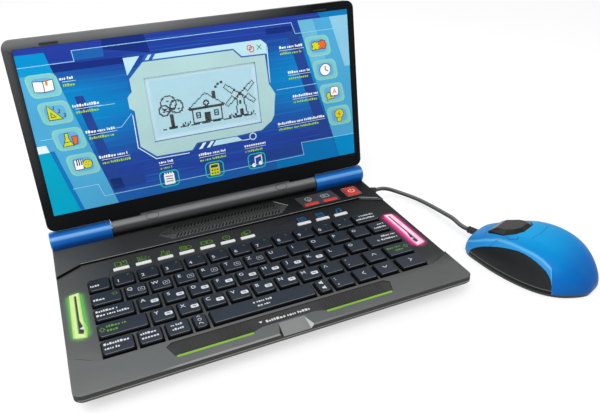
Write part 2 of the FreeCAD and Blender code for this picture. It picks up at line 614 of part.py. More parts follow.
keep("lid_hinge_bar", bar, LID)
keep("ribbon_cable", fuse(box((-8, 8), (-8.5, 50), (-5.7, -5.3)), box((-8, 8), (49.7, 51), (-5.6, -5.25))), LID)
keep("lid_bumpers", gather([round_edges(box((x - 6.5, x + 6.5), (145.4, 146.6), (-1.1, 1.0)), 0.5)
                            for x in (-111.2, 111.2)]), LID)

# ---------------------------------------------------------------- mouse, in its own frame
STATIONS = [  # distance from the nose, half width, height
    (0.0, 19.0, 14.5), (3.0, 21.3, 16.5), (12.0, 25.0, 21.0), (27.0, 29.2, 28.0), (45.0, 32.3, 33.5),
    (60.0, 33.0, 33.8), (75.0, 31.0, 30.0), (87.0, 25.0, 23.0), (95.0, 17.0, 16.0), (99.5, 10.0, 10.5), (101.0, 5.0, 7.0),
]
SKIRT = 3.2


def hull(inset):
    """Egg-shaped body of the mouse, shrunk by a wall thickness."""
    wires = []
    for reach, half, tall in STATIONS:
        reach = min(max(reach, inset), D["mouse_len"] - inset)
        y = D["mouse_len"] / 2 - reach
        half = half * D["mouse_half"] / 33 - inset
        tall = tall * D["mouse_tall"] / 33.8 - inset - SKIRT
        points = []
        for i in range(13):
            a = math.pi * i / 12
            cx = math.copysign(abs(math.cos(a)) ** 0.66, math.cos(a))
            points.append(Vec(half * cx, y, SKIRT + tall * math.sin(a) ** 0.64))
        curve = Part.BSplineCurve()
        curve.interpolate(points)
        wires.append(Part.Wire([curve.toShape(), Part.makeLine(points[-1], points[0])]))
    return Part.makeLoft(wires, True, False)


def raw(shape):
    """Document object for a shape made from the sheet's values."""
    obj = new("Part::Feature", "form")
    obj.Shape = shape
    return obj


def outline(inset):
    """Smooth plan outline of the mouse at table height."""
    rights = [Vec(w - inset, D["mouse_len"] / 2 - min(max(t, inset), D["mouse_len"] - inset), 0) for t, w, _ in STATIONS]
    lefts = [Vec(-p.x, p.y, 0) for p in reversed(rights)]
    curves = []
    for run_ in (rights, lefts):
        curve = Part.BSplineCurve()
        curve.interpolate(run_)
        curves.append(curve.toShape())
    edges = [curves[0], Part.makeLine(rights[-1], lefts[0]), curves[1], Part.makeLine(lefts[-1], rights[0])]
    return Part.Face(Part.Wire(edges))


ARCH = [(-30.4, 0.7), (-30.4, 5.0), (-29.7, 10.0), (-28.2, 14.6), (-26.0, 18.0), (-23.0, 20.9), (-19.2, 23.1), (-14.6, 25.0),
        (-9.6, 26.4), (-4.0, 27.2), (1.5, 27.1), (7.0, 26.2), (13.0, 24.7), (19.2, 22.6), (25.6, 19.9), (32.0, 16.7),
        (36.8, 13.7), (41.0, 10.4), (43.6, 7.4), (44.6, 4.0), (44.6, 0.7)]
BUTTON = [(-10.5, 15.4), (10.5, 15.4), (15.6, -1.7), (12.5, -10.4), (7.0, -14.5), (-7.0, -14.5), (-12.5, -10.4), (-15.6, -1.7)]
CROWN = [(-8.4, 9.0), (8.4, 9.0), (10.6, -1.6), (8.8, -8.0), (5.2, -11.4), (-5.2, -11.4), (-8.8, -8.0), (-10.6, -1.6)]
TILT = Place(Vec(0, 21.5, 27.4), Rot(Vec(1, 0, 0), -18))
shell = cut(raw(hull(0)), raw(hull(1.8)))
arches = side_prism(ARCH, (-60, 60))
hatch = prism(grown(BUTTON, 0.4), (-9, 9))
hatch.setExpression("Placement.Base.z", None)
hatch.Placement = TILT.multiply(Place(Vec(0, 0, -9), Rot()))
exit_hole = rod((0, 10.5), 2.7, (40, 60), "y")
keep("mouse_top_shell", cut(shell, arches, hatch, exit_hole), MOUSE)
grip_zone = cut(side_prism(ARCH, (-60, 60)), box((-12, 12), (-60, 60), (0, 60)))
grips = cut(common(cut(raw(hull(0)), raw(hull(1.8))), grip_zone), rod((0, 10.5), 2.7, (40, 60), "y"))
keep("mouse_side_grips", grips, MOUSE)
plate = raw(outline(0.7).extrude(Vec(0, 0, 2.4)))
plate.Placement = Place(Vec(0, 0, 0.7), Rot())
MOUSE_POSTS = [(-16, 26), (16, 26), (-17, -22), (17, -22)]
PADS = [(0, 36, 9.0), (0, -38, 9.0)]
base = fuse(plate, *[rod(p, 2.6, (2.5, 9.0)) for p in MOUSE_POSTS])
base = cut(base, rod((0, 0), 5.0, (0, 4)), *[rod(p, 1.2, (0, 10)) for p in MOUSE_POSTS],
           *[rod(p, 2.3, (0, 2.0)) for p in MOUSE_POSTS], *[block(x, y, 2 * r + 0.2, 6.2, (0, 1.2)) for x, y, r in PADS])
keep("mouse_base", base, MOUSE)
keep("mouse_feet", gather([block(x, y, 2 * r, 6.0, (0, 1.2)) for x, y, r in PADS]), MOUSE)
keep("mouse_screws", gather([fuse(rod(p, 2.1, (0.9, 2.0)), rod(p, 1.1, (1.9, 8.6))) for p in MOUSE_POSTS]), MOUSE)
keep("mouse_board", fuse(box((-18, 18), (-25, 30), (9.05, 10.65)), box((-6, 6), (-8, 6), (10.6, 13.5)),
                         block(0, 18.5, 6, 6, (10.6, 16.0))), MOUSE)
keep("mouse_lens", fuse(rod((0, 0), 4.8, (1.2, 2.6)), box((-5, 5), (-7, 7), (3.3, 6.0)), rod((0, 0), 3.0, (2.5, 3.4))), MOUSE)
cap = loft([tilted_sketch(BUTTON, -5.0), tilted_sketch(BUTTON, 0.9), tilted_sketch(CROWN, 3.5)])
cap = fuse(cap, rod((0, 0), 3.0, (-9.8, -4.5)))
keep("mouse_button", cap, MOUSE.multiply(TILT))
ribs = [rod((0, 10.5), 3.1, (y, y + 1.3), "y") for y in (50.9, 53.5, 56.1, 58.7)]
boot = fuse(rod((0, 10.5), 2.5, (46.9, 60.6), "y"), *ribs)
keep("cable_boot", cut(boot, rod((0, 10.5), "Sizes.cable_r + 0.12", (40, 70), "y")), MOUSE)

# ---------------------------------------------------------------- cable
start = Vec(*CABLE_EXIT)
way = [Vec(x, start.y, start.z) for x in (139.0, 143.0, 147.0, 151.0)]
way += [Vec(160.0, 66.5, 13.2), Vec(169.0, 65.9, 10.0), Vec(176.0, 61.6, 7.4), Vec(182.6, 53.0, 5.9), Vec(186.8, 40.5, 6.0),
        Vec(188.2, 26.4, 7.3), Vec(188.2, 12.0, 9.3), Vec(187.8, -1.0, 11.2), Vec(187.6, -12.0, 12.2)]
way += [MOUSE.multVec(Vec(0, y, z)) for y, z in (
    (67.5, 11.3), (63.6, 10.6), (60.8, 10.5), (58.4, 10.5), (54.0, 10.5), (50.0, 10.5), (46.0, 10.5))]
path = Part.BSplineCurve()
path.interpolate(way)


def ring_at(share):
    """Circle across the cable at a share of its course."""
    u = path.FirstParameter + share * (path.LastParameter - path.FirstParameter)
    spot = path.value(u)
    ahead = path.tangent(u)[0]
    side = ahead.cross(Vec(0, 0, 1)).normalize()
    circle = Part.Circle()
    circle.Radius = D["cable_r"]
    edge = circle.toShape()
    edge.Placement = Place(spot, Rot(side, ahead.cross(side) * -1, ahead, "ZXY"))
    return Part.Wire([edge])


keep("mouse_cable", raw(Part.makeLoft([ring_at(i / 60.0) for i in range(61)], True, False)))
boot = fuse(rod((start.y, start.z), 2.5, (143.2, 145.6), "x"), rod((start.y, start.z), 3.3, (145.1, 147.4), "x"),
            rod((start.y, start.z), 2.7, (147.2, 150.4), "x"))
keep("cable_grommet", cut(boot, rod((start.y, start.z), "Sizes.cable_r + 0.1", (140, 155), "x")))

# ---------------------------------------------------------------- check and write
doc.recompute()
for obj in doc.Objects:
    bad = [state for state in obj.State if state in ("Invalid", "Error")]
    if bad:
        raise RuntimeError("%s is %s" % (obj.Name, bad))
os.makedirs("parts", exist_ok=True)
for name, obj in nodes.items():
    shape = obj.Shape
    if shape.isNull() or not shape.isValid() or not shape.Solids:
        raise RuntimeError("%s has no valid solid" % name)
    shape.exportStep("parts/%s.step" % name)
    b = shape.BoundBox
    print("%-20s %2d solids %9.1f mm3  x %.1f %.1f  y %.1f %.1f  z %.1f %.1f" % (
        name, len(shape.Solids), shape.Volume, b.XMin, b.XMax, b.YMin, b.YMax, b.ZMin, b.ZMax))
print(len(nodes), "sub-parts")
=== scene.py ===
"""Looks of the toy laptop computer: materials, printed artwork, key legends, seams, cable, light and camera.

Sizes are in millimetres until they become mesh coordinates. Artwork on the lid
is drawn in the lid's own plane (x across, y up the lid from its lower edge),
artwork on the base in the plan of the part, and marks on the mouse in the
mouse's own frame, with +y at its nose.
"""
import json
import math

import bpy
from mathutils import Matrix, Vector
from mathutils.bvhtree import BVHTree


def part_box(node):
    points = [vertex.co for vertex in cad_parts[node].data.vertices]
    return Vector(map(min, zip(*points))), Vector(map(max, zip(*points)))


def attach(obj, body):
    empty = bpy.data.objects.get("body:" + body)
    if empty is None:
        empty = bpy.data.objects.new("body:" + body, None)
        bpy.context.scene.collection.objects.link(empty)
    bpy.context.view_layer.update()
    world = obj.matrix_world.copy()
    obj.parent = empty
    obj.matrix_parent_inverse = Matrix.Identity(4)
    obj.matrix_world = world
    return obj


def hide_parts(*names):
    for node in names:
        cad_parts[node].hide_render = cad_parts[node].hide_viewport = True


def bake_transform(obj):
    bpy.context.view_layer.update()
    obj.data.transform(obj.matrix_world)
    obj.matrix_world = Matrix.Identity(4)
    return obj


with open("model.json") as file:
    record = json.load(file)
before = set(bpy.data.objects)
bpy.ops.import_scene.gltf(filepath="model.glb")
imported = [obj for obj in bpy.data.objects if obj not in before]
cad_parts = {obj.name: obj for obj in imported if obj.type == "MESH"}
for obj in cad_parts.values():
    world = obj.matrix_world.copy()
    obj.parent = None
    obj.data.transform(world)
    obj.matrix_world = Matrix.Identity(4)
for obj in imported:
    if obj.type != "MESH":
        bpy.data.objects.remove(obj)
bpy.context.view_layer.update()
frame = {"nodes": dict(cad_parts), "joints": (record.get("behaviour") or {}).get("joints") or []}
NODES = frame["nodes"]
MM = 0.001
scene = bpy.context.scene

# ---------------------------------------------------------------- frames
JOINTS = {joint["name"]: joint for joint in frame["joints"]}
LEAN = math.radians(7.85)
UP_LID = Vector((0, math.sin(LEAN), math.cos(LEAN)))
OUT_LID = Vector((0, -math.cos(LEAN), math.sin(LEAN)))


def frame_of(origin, right, up, out):
    """Matrix of a drawing frame, in millimetres."""
    matrix = Matrix((right, up, out)).transposed().to_4x4()
    matrix.translation = origin
    return matrix


PLAN = Matrix.Identity(4)
LID_FOOT = Vector(JOINTS["lid_hinge"]["pos_m"]) / MM + UP_LID * 11.1 + OUT_LID * 4.8
LID = frame_of(LID_FOOT, Vector((1, 0, 0)), UP_LID, OUT_LID)
NOSE = Vector(JOINTS["mouse_slide"]["axis"])
lens_low, lens_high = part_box("mouse_lens")
MOUSE_SPOT = (lens_low + lens_high) / 2 / MM
MOUSE_SPOT.z = 0
MOUSE = frame_of(MOUSE_SPOT, NOSE.cross(Vector((0, 0, 1))), NOSE, Vector((0, 0, 1)))
TRAY = 17.0  # level of the sunken keyboard tray
DECK = 18.9  # level of the deck round it
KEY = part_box("number_keys")[1].z / MM
PANEL = -0.25  # face of the screen sheet in the lid's frame


# ---------------------------------------------------------------- materials
def linear(rgb):
    """Display colour, 0 to 255, as a linear one."""
    out = []
    for value in rgb:
        share = value / 255
        out.append(share / 12.92 if share <= 0.04045 else ((share + 0.055) / 1.055) ** 2.4)
    return (*out, 1.0)


CLOUD = (0.3, 0.7)  # span of the noise value that makes a cloud


class Nodes:
    """Short names for building a material's node tree."""

    def __init__(self, name):
        self.material = bpy.data.materials.new(name)
        self.material.use_nodes = True
        self.tree = self.material.node_tree
        self.shader = self.tree.nodes["Principled BSDF"]
        self.place = self.add("ShaderNodeTexCoord").outputs["Object"]

    def add(self, kind, **values):
        node = self.tree.nodes.new(kind)
        for key, value in values.items():
            setattr(node, key, value)
        return node

    def feed(self, socket, value):
        """Link an output, or set a plain value."""
        if isinstance(value, bpy.types.NodeSocket):
            self.tree.links.new(value, socket)
        else:
            socket.default_value = value

    def noise(self, scale, detail=2.0, squeeze=None):
        node = self.add("ShaderNodeTexNoise")
        place = self.place
        if squeeze:
            mapping = self.add("ShaderNodeMapping")
            self.feed(mapping.inputs["Vector"], place)
            mapping.inputs["Scale"].default_value = squeeze
            place = mapping.outputs["Vector"]
        self.feed(node.inputs["Vector"], place)
        node.inputs["Scale"].default_value = scale
        node.inputs["Detail"].default_value = detail
        return node.outputs["Fac"]

    def mix(self, share, a, b):
        node = self.add("ShaderNodeMix", data_type="RGBA")
        self.feed(node.inputs[0], share)
        self.feed(node.inputs[6], a)
        self.feed(node.inputs[7], b)
        return node.outputs[2]

    def sum(self, kind, a, b=0.0):
        node = self.add("ShaderNodeMath", operation=kind)
        self.feed(node.inputs[0], a)
        self.feed(node.inputs[1], b)
        return node.outputs[0]

    def times(self, a, b):
        return self.sum("MULTIPLY", a, b)

    def plus(self, a, b):
        return self.sum("ADD", a, b)

    def minus(self, a, b):
        return self.sum("SUBTRACT", a, b)

    def size(self, a):
        return self.sum("ABSOLUTE", a)

    def fit(self, value, a, b, low, high):
        """Carry a value from one range to another, held at the ends."""
        node = self.add("ShaderNodeMapRange")
        self.feed(node.inputs[0], value)
        for i, limit in enumerate((a, b, low, high), start=1):
            node.inputs[i].default_value = limit
        return node.outputs[0]

    def parts(self, vector):
        node = self.add("ShaderNodeSeparateXYZ")
        self.feed(node.inputs[0], vector)
        return node.outputs

    def axes(self):
        return self.parts(self.place)

    def facing(self, kind="True Normal"):
        """Directions in which the surface faces along x, y and z."""
        return self.parts(self.add("ShaderNodeNewGeometry").outputs[kind])

    def glow(self, tone, strength):
        """Light given off by the surface itself."""
        self.feed(self.shader.inputs["Emission Color"], tone)
        self.feed(self.shader.inputs["Emission Strength"], strength)

    def tint(self, share, tone, rgb):
        return self.mix(share, tone, linear(rgb))

    def cloud(self, tone, rgb, scale, most, detail=4):
        """Cloudy patches of a second colour."""
        return self.mix(self.fit(self.noise(scale, detail), *CLOUD, 0, most), tone, linear(rgb))

    def surface(self, tone, gloss, rough, shine, grain):
        """Colour, cloudy roughness, mirror strength and relief of the shader."""
        self.feed(self.shader.inputs["Base Color"], tone)
        self.feed(self.shader.inputs["Roughness"], self.fit(self.noise(*gloss), *CLOUD, *rough))
        self.shader.inputs["Specular IOR Level"].default_value = shine
        scale, detail, strength = grain
        self.relief(self.noise(scale, detail), strength)
        return self.material

    def ramp(self, value, stops):
        node = self.add("ShaderNodeValToRGB")
        self.feed(node.inputs[0], value)
        ramp = node.color_ramp
        while len(ramp.elements) < len(stops):
            ramp.elements.new(0.5)
        for element, (spot, rgb) in zip(ramp.elements, stops):
            element.position = spot
            element.color = linear(rgb)
        return node.outputs[0]

    def relief(self, height, strength, depth=0.05):
        """Bump, on top of softly rounded edges."""
        bump = self.add("ShaderNodeBump")
        bump.inputs["Strength"].default_value = strength
        bump.inputs["Distance"].default_value = depth * MM
        self.feed(bump.inputs["Height"], height)
        edge = self.add("ShaderNodeBevel", samples=4)
        edge.inputs["Radius"].default_value = 0.25 * MM
        self.feed(bump.inputs["Normal"], edge.outputs[0])
        self.feed(self.shader.inputs["Normal"], bump.outputs[0])


def plastic(name, rgb, rough=0.4, vary=0.10, grain=0.3, size=0.35, coat=0.0, shine=0.5, metal=0.0,
        glow=0.0):
    """Moulded plastic, rubber or metal: cloudy colour, fine grain, uneven gloss and soft edges."""
    n = Nodes(name)
    colour = linear(rgb)
    dark = tuple(c * (1 - vary) for c in colour[:3]) + (1,)
    light = tuple(min(1, c * (1 + vary)) for c in colour[:3]) + (1,)
    tone = n.mix(n.fit(n.noise(38, 4), *CLOUD, 0, 1), dark, light)
    fine = n.noise(1 / (size * MM), 3)
    n.feed(n.shader.inputs["Base Color"], tone)
    n.feed(n.shader.inputs["Roughness"], n.fit(n.noise(160, 5), *CLOUD, rough * 0.88, min(1, rough * 1.14)))
    n.shader.inputs["Metallic"].default_value = metal
    n.shader.inputs["Specular IOR Level"].default_value = shine
    n.shader.inputs["Coat Weight"].default_value = coat
    n.shader.inputs["Coat Roughness"].default_value = 0.08
    n.relief(fine, grain)
    if glow:
        n.glow(tone, glow)
    return n.material


def ink(name, rgb, glow=0.0):
    """Printed ink: even colour with a faint print grain."""
    return plastic(name, rgb, rough=0.45, vary=0.04, grain=0.05, size=0.25, shine=0.06, glow=glow)


def deck_light_and_shade(n, x, y):
    """Charcoal in painted light and shade: lighter towards the user, with painted light behind the keys on
    the left and at the front left, and painted shade to the right.
    """
    # painted light and shade from front to rear: palest at the user's edge, darkest by the hinge
    tone = n.ramp(n.fit(y, -0.095, 0.095, 0, 1), [
        (0.0, (104, 106, 105)), (0.13, (98, 100, 99)), (0.22, (82, 84, 83)), (0.36, (74, 75, 75)),
        (0.5, (69, 70, 70)), (0.66, (54, 55, 55)), (0.76, (44, 45, 46)), (0.82, (32, 33, 34)),
        (1.0, (25, 26, 27))])
    # painted light on the tray behind the keys, fading to the right
    behind_keys_painted_light = n.times(n.fit(x, -0.13, 0.08, 0.5, 0), n.fit(y, 0.02, 0.06, 0, 1))
    tone = n.tint(behind_keys_painted_light, tone, (74, 75, 74))
    # painted shade over the right of the deck
    right = n.times(n.fit(x, -0.02, 0.13, 0, 0.64), n.fit(y, -0.075, -0.055, 0.3, 1))
    tone = n.tint(right, tone, (8, 9, 9))
    # painted light at the front left
    left = n.times(n.fit(x, -0.09, -0.135, 0, 0.16), n.fit(y, -0.075, -0.06, 0.3, 1))
    return n.tint(left, tone, (150, 151, 150))


def deck_walls(n, tone, spot, face):
    """Walls in painted shade, the rear step's faces pale where they turn left and dark elsewhere as painted
    light and shade, a painted highlight along the foot of the front wall and another on the chamfer above
    it.
    """
    x, y, z = spot
    at_rear = n.fit(y, 0.03, 0.04, 0, 1)
    # painted light on rear step faces turned to the left, painted shade on the rest
    rear = n.mix(n.fit(face[0], -0.3, -0.45, 0, 1), linear((10, 11, 12)), linear((98, 100, 98)))
    # walls darkened as painted shade
    upright = n.times(n.fit(face[2], 0.5, 0.7, 1, 0), n.fit(y, 0.03, 0.04, 0.9, 1))
    tone = n.mix(upright, tone, n.mix(at_rear, linear((42, 44, 43)), rear))
    # painted highlight along the joint at the foot of the front wall
    off = n.size(n.minus(z, 14.4 * MM))
    foot = n.times(n.fit(off, 0.25 * MM, 0.45 * MM, 1, 0), n.fit(y, -0.0935, -0.094, 0, 1))
    tone = n.tint(foot, tone, (132, 130, 127))
    # painted highlight on the front chamfer, left of the notch
    chamfer = n.times(n.fit(face[1], -0.5, -0.6, 0, 1), n.fit(face[2], 0.5, 0.6, 0, 1))
    lit = n.times(n.fit(x, -0.092, -0.080, 0, 1), n.fit(x, -0.012, 0.05, 0.9, 0))
    return n.tint(n.times(chamfer, lit), tone, (142, 144, 142))


def deck_notch(n, tone, spot, face):
    """Thumb notch: painted light on its slope and on its bright right cheek, painted shade on its left one.
    """
    x, y, _ = spot
    notch = n.times(n.fit(n.size(x), 0.0235, 0.024, 1, 0), n.fit(y, -0.078, -0.0785, 0, 1))
    # painted light on the notch's slope and right cheek, painted shade on its left cheek
    slope = n.times(n.fit(face[2], 0.992, 0.985, 0, 1), n.fit(face[2], 0.88, 0.9, 0, 1))
    tone = n.tint(n.times(notch, slope), tone, (132, 134, 133))
    tone = n.tint(n.times(notch, n.fit(face[0], -0.12, -0.2, 0, 1)), tone, (196, 198, 196))
    return n.tint(n.times(notch, n.fit(face[0], 0.12, 0.2, 0, 1)), tone, (34, 35, 36))


def pipe_spill(n, x, y):
    """Strength of the light that falls on the deck round both light pipes."""
    low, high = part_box("light_pipe_right")
    half = (high.x - low.x) / 2
    off_x = n.minus(n.size(x), (low.x + high.x) / 2)
    off_y = n.minus(n.size(n.minus(y, (low.y + high.y) / 2)), (high.y - low.y) / 2 - half)
    off_y = n.sum("MAXIMUM", off_y, 0.0)
    far = n.sum("SQRT", n.plus(n.sum("POWER", n.size(off_x), 2.0), n.sum("POWER", off_y, 2.0)))
    return n.sum("POWER", n.fit(far, half - 0.6 * MM, half + 5.0 * MM, 1.0, 0.0), 3.0)


def deck_paint():
    """Satin charcoal top of the base, with painted light and shade and a painted glow round the light pipes.
    """
    n = Nodes("deck_satin")
    spot = x, y, _ = n.axes()
    face = n.facing()
    tone = deck_light_and_shade(n, x, y)
    tone = deck_walls(n, tone, spot, face)
    tone = deck_notch(n, tone, spot, face)
    tone = n.cloud(tone, (44, 46, 47), 30, 0.14)
    # painted glow: light of the pipes spilling onto the deck
    side = n.sum("GREATER_THAN", x, 0.0)
    green_or_pink = n.mix(side, linear((60, 190, 46)), linear((236, 36, 150)))
    n.glow(green_or_pink, n.times(pipe_spill(n, x, y), n.fit(side, 0, 1, 0.75, 0.95)))
    return n.surface(tone, (190, 5), (0.5, 0.6), 0.14, (3200, 3, 0.35))


def pipe_paint(name, core, rim):
    """Lit light pipe: pale along its middle and coloured towards its edges."""
    n = Nodes(name)
    x, _, _ = n.axes()
    low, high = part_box("light_pipe_left")
    off = n.size(n.minus(n.size(x), -(low.x + high.x) / 2 + 0.6 * MM))
    tone = n.mix(n.fit(off, 2.6 * MM, 5.0 * MM, 0, 1), linear(core), linear(rim))
    tone = n.mix(n.fit(n.noise(120, 3), 0.35, 0.7, 0, 0.22), tone, linear(rim))
    n.feed(n.shader.inputs["Base Color"], n.mix(0.6, tone, (0, 0, 0, 1)))
    n.glow(tone, 0.55)
    n.shader.inputs["Roughness"].default_value = 0.3
    n.relief(n.noise(2500, 2), 0.1)
    return n.material


def round_paint(name, shade, body, highlight_band, rough=0.3, coat=0.0):
    """Turned plastic round the hinge axis, with a painted highlight along a band that faces up and forwards
    and painted shade on the side turned away.
    """
    n = Nodes(name)
    _, y, z = n.axes()
    spot = Vector(JOINTS["lid_hinge"]["pos_m"])
    up = n.times(n.minus(z, spot.z), 0.92 / (7.5 * MM))
    front = n.times(n.minus(y, spot.y), 0.40 / (7.5 * MM))
    facing = n.minus(up, front)
    # painted shade on the side turned away, body colour, then the painted highlight band facing up and
    # forwards
    stops = [
        (0.0, shade), (0.5, shade), (0.74, body), (0.85, body), (0.93, highlight_band), (0.98, highlight_band), (1.0, body)]
    tone = n.cloud(n.ramp(n.fit(facing, -1, 1, 0, 1), stops), body, 40, 0.15)
    n.shader.inputs["Coat Weight"].default_value = coat
    return n.surface(tone, (160, 4), (rough * 0.9, rough * 1.15), 0.2, (2800, 3, 0.08))


def bezel_paint():
    """Black frame of the lid with a painted grey sheen that fades along its upper edge and down its left
    one.
    """
    n = Nodes("bezel_sheen")
    x, _, z = n.axes()
    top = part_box("lid_front_bezel")[1].z
    # painted sheen along the upper edge and down the left one
    upper = n.times(n.fit(z, top - 11 * MM, top - 2 * MM, 0, 1), n.fit(x, 0.105, -0.03, 0, 1))
    left = n.times(n.fit(z, 0.06, top, 0, 0.45), n.fit(x, -0.135, -0.141, 0, 1))
    tone = n.mix(n.sum("MAXIMUM", upper, left), linear((13, 15, 17)), linear((112, 113, 114)))
    tone = n.cloud(tone, (22, 24, 26), 34, 0.1)
    return n.surface(tone, (160, 4), (0.3, 0.38), 0.08, (2800, 3, 0.12))


def key_paint():
    """Satin blue-black key, its top lighter towards the user as painted light, its flanks darkened as
    painted shade, and a thin painted highlight along the front edge of its top.
    """
    n = Nodes("key_navy_satin")
    _, y, z = n.axes()
    face = n.facing()
    # top lighter towards the user as painted light
    stops = [(0.0, (54, 59, 68)), (0.5, (46, 51, 60)), (1.0, (38, 42, 49))]
    top = n.ramp(n.fit(y, -0.07, 0.03, 0, 1), stops)
    top = n.cloud(top, (38, 42, 50), 38, 0.3)
    # painted highlight on the front rim, painted shade on the flanks
    rim = n.times(n.fit(face[1], -0.5, -0.65, 0, 1), n.fit(z, (KEY - 0.26) * MM, (KEY - 0.14) * MM, 0, 1))
    flank_shade_and_highlight = n.mix(rim, linear((9, 10, 14)), linear((122, 128, 136)))
    tone = n.mix(n.fit(face[2], 0.8, 0.95, 0, 1), flank_shade_and_highlight, top)
    return n.surface(tone, (160, 5), (0.42, 0.52), 0.12, (2800, 3, 0.3))


def grille_paint():
    """Matt ribs of the speaker grille, painted lighter towards the user and darker in the painted shadow of
    the hinge towards the rear.
    """
    n = Nodes("grille_matt")
    _, y, _ = n.axes()
    # painted light towards the user, painted shadow of the hinge at the rear
    stops = [(0.0, (98, 99, 97)), (0.45, (74, 75, 74)), (1.0, (30, 31, 31))]
    tone = n.ramp(n.fit(y, 0.056, 0.080, 0, 1), stops)
    tone = n.tint(n.fit(n.noise(420, 3), 0.4, 0.7, 0, 0.5), tone, (34, 35, 35))
    return n.surface(tone, (160, 4), (0.5, 0.6), 0.12, (2600, 3, 0.25))


def cable_paint():
    """Soft black sleeve with a painted sheen along its top."""
    n = Nodes("cable_rubber")
    face = n.facing("Normal")
    # painted sheen on the upward faces
    tone = n.mix(n.fit(face[2], -0.1, 0.9, 0, 1), linear((16, 16, 17)), linear((112, 112, 111)))
    tone = n.cloud(tone, (52, 52, 53), 300, 0.2, detail=3)
    return n.surface(tone, (160, 4), (0.42, 0.5), 0.2, (2600, 3, 0.12))


def bottom_paint():
    """Fine grained lower shell, dark below the joint level, with a painted highlight on its rim above it."""
    n = Nodes("bottom_fine_grain")
    _, _, z = n.axes()
    # painted highlight on the rim above the joint level
    tone = n.mix(n.fit(z, 11.9 * MM, 12.1 * MM, 0, 1), linear((46, 48, 49)), linear((136, 137, 135)))
    tone = n.cloud(tone, (60, 62, 63), 38, 0.2)
    return n.surface(tone, (160, 5), (0.5, 0.6), 0.25, (2800, 3, 0.5))


def grip_paint():
    """Dark satin grip that turns glossy black in a band along the foot."""
    n = Nodes("grip_dark_satin")
    _, _, z = n.axes()
    satin = n.mix(n.fit(n.noise(40, 4), *CLOUD, 0, 1), linear((24, 27, 28)), linear((32, 35, 36)))
    foot = n.fit(z, 5.5 * MM, 5.9 * MM, 1, 0)
    line = n.fit(n.size(n.minus(z, 6.2 * MM)), 0.1 * MM, 0.4 * MM, 0.8, 0)
    tone = n.tint(line, n.tint(foot, satin, (8, 8, 9)), (112, 116, 118))
    n.feed(n.shader.inputs["Base Color"], tone)
    n.feed(n.shader.inputs["Roughness"], n.mix(foot, (0.48, 0.48, 0.48, 1), (0.2, 0.2, 0.2, 1)))
    n.shader.inputs["Specular IOR Level"].default_value = 0.18
    n.relief(n.noise(2600, 3), 0.25)
    return n.material


def screen_paint():
    """Printed sheet: bands of blue that run across, with soft streaks and a faint painted glow."""
    n = Nodes("screen_print_blue")
    x, _, z = n.axes()
    low = LID.translation.z * MM
    share = n.fit(z, low + 11.6 * MM * UP_LID.z, low + 144.2 * MM * UP_LID.z, 0, 1)
    side = n.fit(n.size(x), 0.045, 0.10, 0, 1)
    warm = n.noise(9, 3, (1.2, 1, 26))
    share = n.plus(share, n.fit(warm, *CLOUD, -0.022, 0.022))
    outer = n.ramp(share, [
        (0.0, (24, 104, 178)), (0.075, (30, 74, 152)), (0.2, (34, 56, 138)), (0.32, (30, 74, 152)),
        (0.45, (18, 108, 176)), (0.6, (2, 128, 188)), (0.74, (8, 120, 184)), (0.84, (26, 80, 156)),
        (0.9, (30, 54, 142)), (1.0, (36, 56, 146))])
    inner = n.ramp(share, [
        (0.0, (34, 92, 170)), (0.12, (34, 62, 148)), (0.28, (30, 66, 150)), (0.6, (10, 116, 182)),
        (0.84, (28, 60, 148)), (1.0, (36, 56, 146))])
    tone = n.mix(side, inner, outer)
    streak = n.noise(14, 2, (1.0, 1, 60))
    tone = n.tint(n.fit(streak, 0.56, 0.75, 0, 0.3), tone, (30, 150, 215))
    # painted glow on the printed sheet
    n.glow(tone, 0.12)
    return n.surface(tone, (150, 4), (0.3, 0.36), 0.06, (4000, 2, 0.04))


def display_paint():
    """Pale reflective display, paler round its border, with a faint painted glow."""
    n = Nodes("display_pale_blue")
    x, _, z = n.axes()
    window_low, window_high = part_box("lcd_window")
    half_x = (window_high.x - window_low.x) / 2
    half_z = (window_high.z - window_low.z) / 2
    off_x = n.size(n.minus(x, (window_low.x + window_high.x) / 2))
    off_z = n.size(n.minus(z, (window_low.z + window_high.z) / 2))
    border = n.sum("MAXIMUM", n.minus(off_x, half_x), n.minus(off_z, half_z))
    tone = n.mix(n.fit(border, -4.5 * MM, -0.3 * MM, 0, 1), linear((172, 210, 224)),
        linear((214, 234, 240)))
    tone = n.cloud(tone, (188, 218, 228), 24, 0.35, detail=3)
    n.feed(n.shader.inputs["Base Color"], tone)
    # painted glow on the display
    n.glow(tone, 0.1)
    n.shader.inputs["Roughness"].default_value = 0.5
    n.shader.inputs["Specular IOR Level"].default_value = 0.2
    n.relief(n.noise(5000, 2), 0.05)
    return n.material


def window_paint(name):
    """Clear plastic window: it lets nearly all light through and keeps a faint shine."""
    n = Nodes(name)
    clear = n.add("ShaderNodeBsdfTransparent")
    clear.inputs["Color"].default_value = (0.97, 0.985, 0.985, 1)
    blend = n.add("ShaderNodeMixShader")
    n.feed(blend.inputs[0], n.fit(n.noise(60, 3), *CLOUD, 0.02, 0.04))
    n.feed(blend.inputs[1], clear.outputs[0])
    n.feed(blend.inputs[2], n.shader.outputs[0])
    n.shader.inputs["Roughness"].default_value = 0.12
    output = n.tree.nodes["Material Output"]
    n.tree.links.new(blend.outputs[0], output.inputs["Surface"])
    return n.material


# height of the flank's ridge along the mouse, in millimetres
RIDGE = [
    (-31.5, 0), (-30, 8), (-28, 18), (-25.5, 23.5), (-18, 27.5), (-9, 29.5),
    (8, 30), (22, 26), (28, 23.5), (37, 19), (47, 13), (52, 10)]
RIDGE_START, RIDGE_LENGTH, RIDGE_SCALE = RIDGE[0][0], RIDGE[-1][0] - RIDGE[0][0], 40


